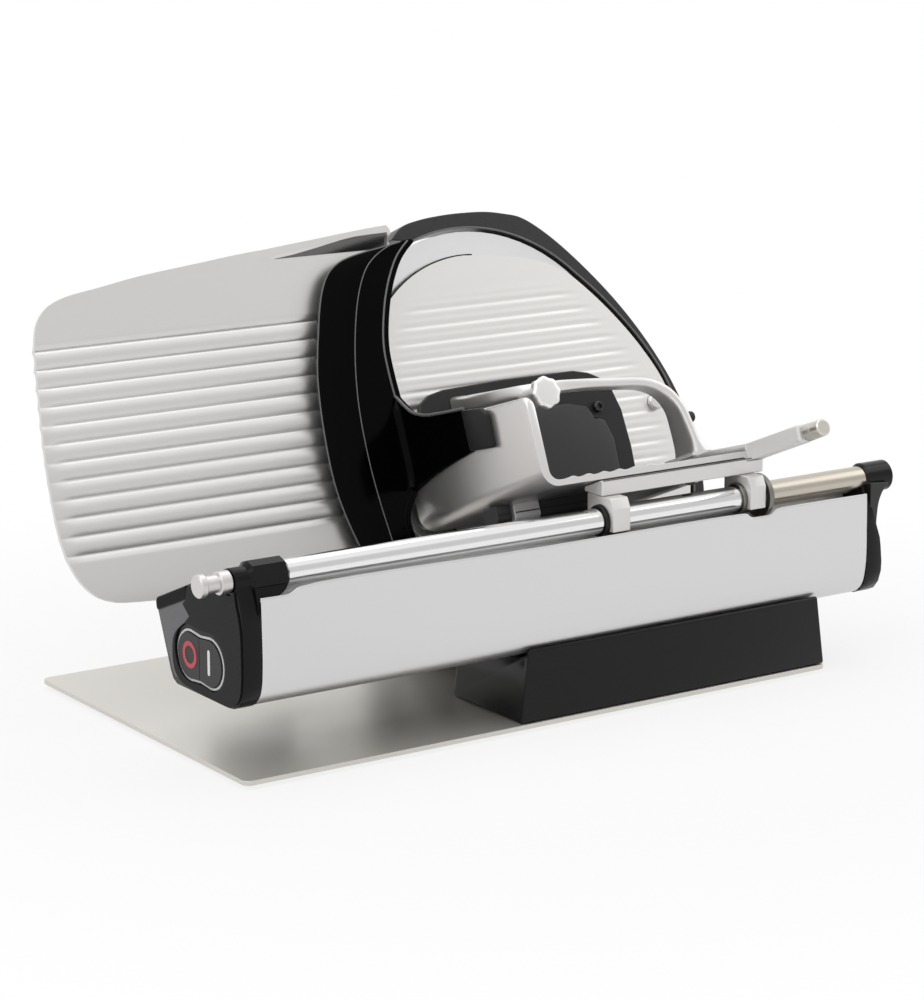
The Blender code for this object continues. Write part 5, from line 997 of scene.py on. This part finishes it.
class SLICER_OT_tray(SlicerStep):
    """Build the cast tray, its arm and the bearing blocks below it"""

    bl_idname = "slicer.tray"
    bl_label = "Carriage tray"

    def execute(self, context):
        depths = TRAY_MOUTH + spread(TRAY_BODY, TRAY_END, 24)
        mesh = rings_mesh("tray_shell", [self.ring(d) for d in depths])
        stands_for(new_piece("tray_shell", mesh, "cast_silver", "carriage", 0.0008, 3, 55), "tray")
        mesh = rings_mesh("tray_arm", [self.trough(d) for d in TROUGH_DEPTHS])
        new_piece("tray_arm", mesh, "cast_light", "carriage", 0.0005, 2, 50)
        boss = oblong(RAIL_LEFT, TROUGH_UNDER + 0.1, RAIL_RIGHT, TROUGH_TOP + 0.3)
        prism("tray_boss", boss, on_lean(*ARM_BOSS_DEPTHS), "cast_light", "carriage", 0.0018, 4)
        lug = oblong(RAIL_LEFT + LUG_INSET, LUG_LOW, RAIL_RIGHT - LUG_INSET, LUG_TOP)
        prism("tray_lug", lug, on_lean(*LUG_DEPTHS), "cast_silver", "carriage", 0.0006)
        self.bearings()
        self.pin_grip()
        prism("bar_line", oblong(*BAR_LINE), on_side(*BAR_LINE_X), "rubber", "carriage")
        down = Matrix.Translation(shop(*BAR_SCREW_PLACE)) @ Matrix.Rotation(math.pi, 4, "X")
        lathe("bar_screw", BAR_SCREW, down, "black_matte", "carriage", 40)
        return {"FINISHED"}

    def ring(self, d):
        """The tray's section at that depth, round the wall's top edge and over the floor's ribs."""
        top = level(TRAY_TOP, d)
        top -= TRAY_NOSE_R - math.sqrt(TRAY_NOSE_R ** 2 - bounded(TRAY_NOSE - d, 0.0, TRAY_NOSE_R) ** 2)
        lip = TRAY_WALL / 2
        outer = arc((TRAY_LEFT + TRAY_OUTER_R, TRAY_UNDER + TRAY_OUTER_R), TRAY_OUTER_R, 180, 270, 14)
        corner = (TRAY_LEFT + TRAY_WALL + TRAY_INNER_R, TRAY_FLOOR + TRAY_INNER_R)
        inner = arc(corner, TRAY_INNER_R, 270, 180, 12)
        cap = arc((TRAY_LEFT + lip, top - lip), lip, 0, 180, 12)
        rail = RAIL_TOP - RAIL_FALL * bounded((RAIL_FALL_FROM - d) / RAIL_FALL_LENGTH)
        left, right, wall, edge = RAIL_LEFT, RAIL_RIGHT, RAIL_WALL, RAIL_EDGE
        bottom = RAIL_UNDER + RAIL_FLOOR
        under = [(left - 3.0, TRAY_UNDER), (left - 0.6, RAIL_UNDER), (right, RAIL_UNDER),
                 (right, rail - edge), (right - edge, rail), (right - wall + edge, rail),
                 (right - wall, rail - edge), (right - wall, bottom), (left + wall, bottom),
                 (left + wall, rail - edge), (left + wall - edge, rail), (left + edge, rail),
                 (left, rail - edge), (left - 0.6, TRAY_FLOOR)]
        ridges = [(RIDGE_FIRST + i * RIDGE_PITCH + RIDGE_HALF * u,
                   TRAY_FLOOR + RIDGE_RISE * (1 + math.cos(math.pi * u)))
                  for i in reversed(range(RIDGES)) for u in spread(1.0, -1.0, 8)]
        return [lean(x, d, s) for x, s in outer + under + ridges + inner + cap]

    def trough(self, d):
        """The arm's section at that depth: an open channel that the pusher's hub slides along."""
        left, right = RAIL_LEFT + 0.2, RAIL_RIGHT - 0.2
        path = [(left, TROUGH_UNDER), (right, TROUGH_UNDER), (right, TROUGH_TOP),
                (right - RAIL_WALL, TROUGH_TOP), (right - RAIL_WALL, TROUGH_FLOOR),
                (left + RAIL_WALL, TROUGH_FLOOR), (left + RAIL_WALL, TROUGH_TOP), (left, TROUGH_TOP)]
        return [lean(x, d, s) for x, s in path]

    def bearings(self):
        """The blocks below the tray, each with a dark seam along its front."""
        for name, low, high, material in BEARINGS:
            prism(name, BEARING_SIDE, across(low, high), material, "carriage", 0.0007)
            ends = across(low + GROOVE_END, high - GROOVE_END)
            prism(name + "_seam", oblong(*BEARING_GROOVE), ends, "rubber", "carriage")

    def pin_grip(self):
        """The knurled end of the tray's pin."""
        rings = []
        for height, swell in ((0.6, 0.0), (1.0, 0.12), (8.2, 0.12), (8.6, 0.0)):
            ring = []
            for k, a in enumerate(round_turn(KNURLS)):
                r = PIN_R + swell + 0.1 * (k % 3 == 0)
                ring.append(lean(PIN_X + r * math.cos(a), PIN_FACE - height, r * math.sin(a)))
            rings.append(ring)
        new_piece("pin_grip", rings_mesh("pin_grip", rings), "nickel", "carriage", limit=60)


# Each station of the arch is its (x, d, s), then half its width and half its thickness in the same axes.
ARCH = [((384.0, -81.0, 12.4), (0, 12.5, 0), (7.0, 0, 0)),
        ((381.0, -82.0, 20.0), (0, 11.5, 0), (3.6, 0, 0.6)),
        ((378.0, -84.0, 32.0), (0, 10.0, 0), (3.2, 0, 0.5)),
        ((374.0, -86.0, 44.0), (0, 8.5, 0), (3.0, 0, 1.2)),
        ((365.5, -87.0, 54.5), (0, 7.5, 0), (2.2, 0, 2.4)),
        ((351.0, -88.0, 61.0), (0, 7.0, 0), (0.9, 0, 3.1)),
        ((328.0, -88.5, 63.7), (0, 6.5, 0), (0.3, 0, 3.1)),
        ((303.0, -89.0, 65.5), (0, 6.5, 0), (0.2, 0, 3.2)),
        ((284.0, -87.0, 66.4), (1.5, 6.5, 0), (0, 0, 3.8)),
        ((268.0, -79.0, 67.4), (4.0, 5.6, 0), (0, 0, 4.0)),
        ((262.0, -62.0, 69.2), (5.4, 3.6, 0), (0, 0, 4.2)),
        ((259.5, -42.0, 71.2), (6.4, 2.0, 0), (0, 0, 4.8)),
        ((259.5, -27.0, 72.6), (7.0, 1.0, 0), (0, 0, 5.4)),
        ((260.0, -18.4, 73.4), (8.0, 0, 0), (0, 0, 6.4))]
ARCH_SQUARE = 0.45
ARCH_BOSS = [(0, 15.4), (5.6, 15.4), (6.5, 14.6), (6.5, 0.6), (6.0, 0.2), (0, 0.2)]
KNOB_X, KNOB_S, KNOB_FACE, BOSS_FACE, PLATE_FACE = 267.8, 61.8, -98.0, -79.0, -18.0
KNOB_R, KNOB_LOBES, KNOB_WAVE = 10.3, 8, 0.46
# Each layer of the knob is (height, how much smaller, share of the lobes).
KNOB_LAYERS = ((0.0, 0.9, 0.8), (0.5, 0.2, 1.0), (1.2, 0.0, 1.0), (4.4, 0.0, 1.0), (5.1, 0.3, 1.0),
               (5.6, 0.9, 0.95), (5.85, 1.8, 0.85), (5.95, 3.6, 0.5), (6.0, 6.0, 0.15), (6.0, 8.4, 0.0))
KNOB_COLLAR = [(0, 0.8), (8.0, 0.8), (8.0, -3.0), (7.4, -3.6), (3.2, -3.6), (3.0, -11.0), (0, -11.0)]
PLATE_SCREW = [(0, 2.0), (1.6, 2.0), (1.7, 3.6), (2.8, 3.6), (3.4, 3.2), (3.7, 2.6), (3.7, -0.5), (0, -0.5)]
PLATE_SCREWS = ((364.4, 60.6), (240.0, 62.0))


class SLICER_OT_pusher(SlicerStep):
    """Build the pusher's cast arch, its clamping knob and the plate's fittings"""

    bl_idname = "slicer.pusher"
    bl_label = "Pusher"

    def execute(self, context):
        rings = []
        for row in smooth_rows([[*c, *w, *t] for c, w, t in ARCH], 6):
            center, wide, thick = Vector(row[:3]), Vector(row[3:6]), Vector(row[6:])
            ring = []
            for a in round_turn(32):
                u = math.copysign(abs(math.cos(a)) ** ARCH_SQUARE, math.cos(a))
                v = math.copysign(abs(math.sin(a)) ** ARCH_SQUARE, math.sin(a))
                ring.append(lean(*(center + wide * u + thick * v)))
            rings.append(ring)
        arm = new_piece("arch", rings_mesh("arch", rings), "cast_silver", "pusher", limit=50)
        stands_for(arm, "pusher_arm")
        lathe("arch_boss", ARCH_BOSS, round_place(KNOB_X, BOSS_FACE, KNOB_S), "cast_silver", "pusher", 48)
        self.clamp_knob()
        for i, (x, s) in enumerate(PLATE_SCREWS):
            lathe(f"plate_screw_{i}", PLATE_SCREW, round_place(x, PLATE_FACE, s), "black_gloss", "pusher", 36)
        return {"FINISHED"}

    def clamp_knob(self):
        """The lobed knob and the collar below it."""
        rings = []
        for height, shrink, share in KNOB_LAYERS:
            ring = []
            for a in round_turn(128):
                r = KNOB_R - shrink - KNOB_WAVE * share * (1 - math.cos(KNOB_LOBES * a))
                ring.append(lean(KNOB_X + r * math.cos(a), KNOB_FACE - height, KNOB_S + r * math.sin(a)))
            rings.append(ring)
        mesh = rings_mesh("lobed_handle", rings)
        stands_for(new_piece("lobed_handle", mesh, "knob_silver", "clamp_screw", limit=40), "lobe_knob")
        place = round_place(KNOB_X, KNOB_FACE, KNOB_S)
        lathe("lobed_collar", KNOB_COLLAR, place, "knob_silver", "clamp_screw", 64)


COVER_SIDE = [(298.0, 174.0), (314.7, 172.5), (343.0, 168.5), (358.0, 164.5), (372.0, 158.0), (379.0, 153.0),
              (392.5, 139.6), (407.3, 122.0), (422.0, 100.5), (434.3, 75.5), (439.3, 50.0), (440.0, 20.0),
              (433.6, -8.6), (417.6, -24.8), (397.0, -32.0)]
COVER_HEAD = [172.2, 172.4, 172.7, 173.1, 173.5, 173.8, 174.0]
COVER_R, COVER_FACE = 96.0, -2.3
GROOVE_TOP, GROOVE_PITCH, GROOVE_DEPTH, GROOVE_WIDTH = 141.2, 10.6, 0.5, 0.15
FADE_LEFT, FADE_RIGHT, FADE_LENGTH = 12.0, 8.0, 22.0


class SLICER_OT_cover(SlicerStep):
    """Build the blade cover with its soft ribs that stop short of the rim"""

    bl_idname = "slicer.cover"
    bl_label = "Blade cover"

    def execute(self, context):
        left = arc((BLADE_X, BLADE_S), COVER_R, 90, 282, 120) + [(350.0, -25.0), COVER_SIDE[-1]]
        right = flowing(COVER_SIDE, 8)
        rows = []
        for s in stations(-32.0, (-25.0, 10), (-17.5, 8), (148.0, 240), (172.0, 16)) + COVER_HEAD:
            a, b = level(left, s), level(right, s)
            rows.append([lean(x, self.depth(x, s, a, b), s) for x in spread(a, b, 60)])
        stands_for(sheet_piece("cover_sheet", rows, "cover", "frame", 0.0016, 0.0003), "blade_cover")
        return {"FINISHED"}

    def depth(self, x, s, a, b):
        """The face's depth between the edges a and b: narrow grooves and soft swells, fading at both."""
        phase = (GROOVE_TOP - s) / GROOVE_PITCH
        if not -0.9 < phase < 12.9:
            return COVER_FACE
        near = abs(phase - round(phase))
        fade = ease((x - a - FADE_LEFT) / FADE_LENGTH) * ease((b - x - FADE_RIGHT) / FADE_LENGTH)
        fade *= 0.45 + 0.55 * ease(phase / 3.0 + 0.5)
        wave = math.exp(-(near / GROOVE_WIDTH) ** 2) - 0.35 * math.cos(math.pi * near)
        return COVER_FACE + GROOVE_DEPTH * fade * wave


CAMERA_PLACE = (-1.08845, -1.57941, 0.5661)
DARK_SIDE = Vector((0.548, -0.731, 0.409)).normalized()
FLOOR_HALF, FLOOR_GREY = 6.0, 0.86
WHITE_FROM, WHITE_WHOLE = 0.28, 0.62
LIGHT_AIM = Vector((0, 0, 0.12))
# Each lamp is its name, place, size and share of the key's power.
LAMPS = (("key", (-1.0, -0.5, 1.6), 1.4, 1.0), ("top", (0.2, 0.5, 1.8), 1.6, 0.8),
         ("side", (1.4, -0.4, 1.0), 1.0, 0.3))


class SLICER_OT_studio(SlicerStep):
    """Set up the pale floor, the soft light and the camera at the photograph's angle"""

    bl_idname = "slicer.studio"
    bl_label = "Studio"

    def execute(self, context):
        studio = context.scene.slicer_studio
        scene = context.scene
        scene.view_settings.view_transform = "Standard"
        lens = bpy.data.cameras.new("camera")
        lens.lens, lens.sensor_width, lens.sensor_fit = studio.lens, 36.0, "AUTO"
        lens.clip_start, lens.clip_end = 0.05, 50.0
        camera = bpy.data.objects.new("camera", lens)
        camera.location = CAMERA_PLACE
        camera.rotation_euler = (math.pi / 2 - studio.elevation, 0.0, studio.azimuth)
        scene.collection.objects.link(camera)
        scene.camera = camera
        self.make_world(scene, studio.fill)
        self.make_floor(scene)
        self.make_lamps(scene, studio.key)
        return {"FINISHED"}

    def make_world(self, scene, fill):
        """White to the camera, an even fill to the surfaces and one darker side in what they mirror."""
        world = bpy.data.worlds.new("studio")
        world.use_nodes = True
        scene.world = world
        tree = world.node_tree
        tree.nodes.clear()
        path = add(tree, "ShaderNodeLightPath")
        seen = calc(tree, "MAXIMUM", path.outputs["Is Camera Ray"], path.outputs["Is Transmission Ray"])
        place = add(tree, "ShaderNodeTexCoord").outputs["Generated"]
        side = add(tree, "ShaderNodeVectorMath", {0: place, 1: DARK_SIDE}, operation="DOT_PRODUCT")
        dark = add(tree, "ShaderNodeMapRange", {
            "Value": side.outputs["Value"], "From Min": 0.90, "From Max": 0.985,
            "To Min": 1.0, "To Max": 0.69}, interpolation_type="SMOOTHSTEP")
        mirrored = add(tree, "ShaderNodeMix", {0: path.outputs["Is Glossy Ray"], 2: fill, 3: dark.outputs[0]},
                       data_type="FLOAT")
        strength = add(tree, "ShaderNodeMix", {0: seen, 2: mirrored.outputs[0], 3: 1.0}, data_type="FLOAT")
        back = add(tree, "ShaderNodeBackground", {"Color": (1, 1, 1, 1), "Strength": strength.outputs[0]})
        out = add(tree, "ShaderNodeOutputWorld")
        tree.links.new(back.outputs[0], out.inputs[0])

    def make_floor(self, scene):
        """A pale floor that keeps the shadow near the slicer and turns white further out."""
        mesh = bpy.data.meshes.new("floor")
        half = FLOOR_HALF
        mesh.from_pydata([(-half, -half, 0), (half, -half, 0), (half, half, 0), (-half, half, 0)], [],
                         [(0, 1, 2, 3)])
        floor = bpy.data.objects.new("floor", mesh)
        scene.collection.objects.link(floor)
        look = bpy.data.materials.new("floor")
        look.use_nodes = True
        tree = look.node_tree
        shader = tree.nodes["Principled BSDF"]
        shader.inputs["Base Color"].default_value = (FLOOR_GREY, FLOOR_GREY, FLOOR_GREY, 1)
        shader.inputs["Roughness"].default_value = 0.9
        shader.inputs["Specular IOR Level"].default_value = 0.0
        path = add(tree, "ShaderNodeLightPath")
        seen = calc(tree, "MAXIMUM", path.outputs["Is Camera Ray"], path.outputs["Is Glossy Ray"])
        seen = calc(tree, "MAXIMUM", seen, path.outputs["Is Transmission Ray"])
        place = add(tree, "ShaderNodeTexCoord").outputs["Object"]
        far = add(tree, "ShaderNodeVectorMath", {0: place}, operation="LENGTH")
        white = add(tree, "ShaderNodeMapRange", {
            "Value": far.outputs["Value"], "From Min": WHITE_FROM, "From Max": WHITE_WHOLE,
            "To Min": 0.8, "To Max": 1.0}, interpolation_type="SMOOTHSTEP")
        share = calc(tree, "MULTIPLY", seen, white.outputs[0])
        glow = add(tree, "ShaderNodeEmission", {"Color": (1, 1, 1, 1), "Strength": 1.0})
        mixed = add(tree, "ShaderNodeMixShader", {0: share, 1: shader.outputs[0], 2: glow.outputs[0]})
        tree.links.new(mixed.outputs[0], tree.nodes["Material Output"].inputs["Surface"])
        mesh.materials.append(look)

    def make_lamps(self, scene, key):
        """Three large soft lamps, turned to the slicer."""
        for name, place, size, share in LAMPS:
            lamp = bpy.data.lights.new(name, "AREA")
            lamp.shape, lamp.size, lamp.energy = "SQUARE", size, key * share
            holder = bpy.data.objects.new(name, lamp)
            holder.location = place
            holder.rotation_euler = (LIGHT_AIM - Vector(place)).to_track_quat("-Z", "Y").to_euler()
            scene.collection.objects.link(holder)


class SLICER_PT_panel(bpy.types.Panel):
    """Lists the slicer's steps and values"""

    bl_idname = "SLICER_PT_panel"
    bl_label = "Meat slicer"
    bl_space_type = "VIEW_3D"
    bl_region_type = "UI"
    bl_category = "Slicer"

    def draw(self, context):
        column = self.layout.column()
        for group_of_values in (context.scene.slicer_finishes, context.scene.slicer_studio):
            for name in group_of_values.__annotations__:
                column.prop(group_of_values, name)
        for step in STEPS:
            column.operator(step.bl_idname)


STEPS = (SLICER_OT_finishes, SLICER_OT_rod, SLICER_OT_guards, SLICER_OT_ends, SLICER_OT_gauge,
         SLICER_OT_cover, SLICER_OT_tray, SLICER_OT_pusher, SLICER_OT_studio)
VALUES = (SLICER_PG_finishes, SLICER_PG_studio)


def register():
    for cls in (*VALUES, *STEPS, SLICER_PT_panel):
        bpy.utils.register_class(cls)
    bpy.types.Scene.slicer_finishes = bpy.props.PointerProperty(type=SLICER_PG_finishes)
    bpy.types.Scene.slicer_studio = bpy.props.PointerProperty(type=SLICER_PG_studio)


def unregister():
    del bpy.types.Scene.slicer_finishes
    del bpy.types.Scene.slicer_studio
    for cls in reversed((*VALUES, *STEPS, SLICER_PT_panel)):
        bpy.utils.unregister_class(cls)


def main():
    """Runs every step in order."""
    for thing in list(bpy.data.objects):
        if thing.name in ("Cube", "Light", "Camera"):
            bpy.data.objects.remove(thing)
    register()
    for step in STEPS:
        space, name = step.bl_idname.split(".")
        getattr(getattr(bpy.ops, space), name)()


if __name__ == "__main__":
    main()
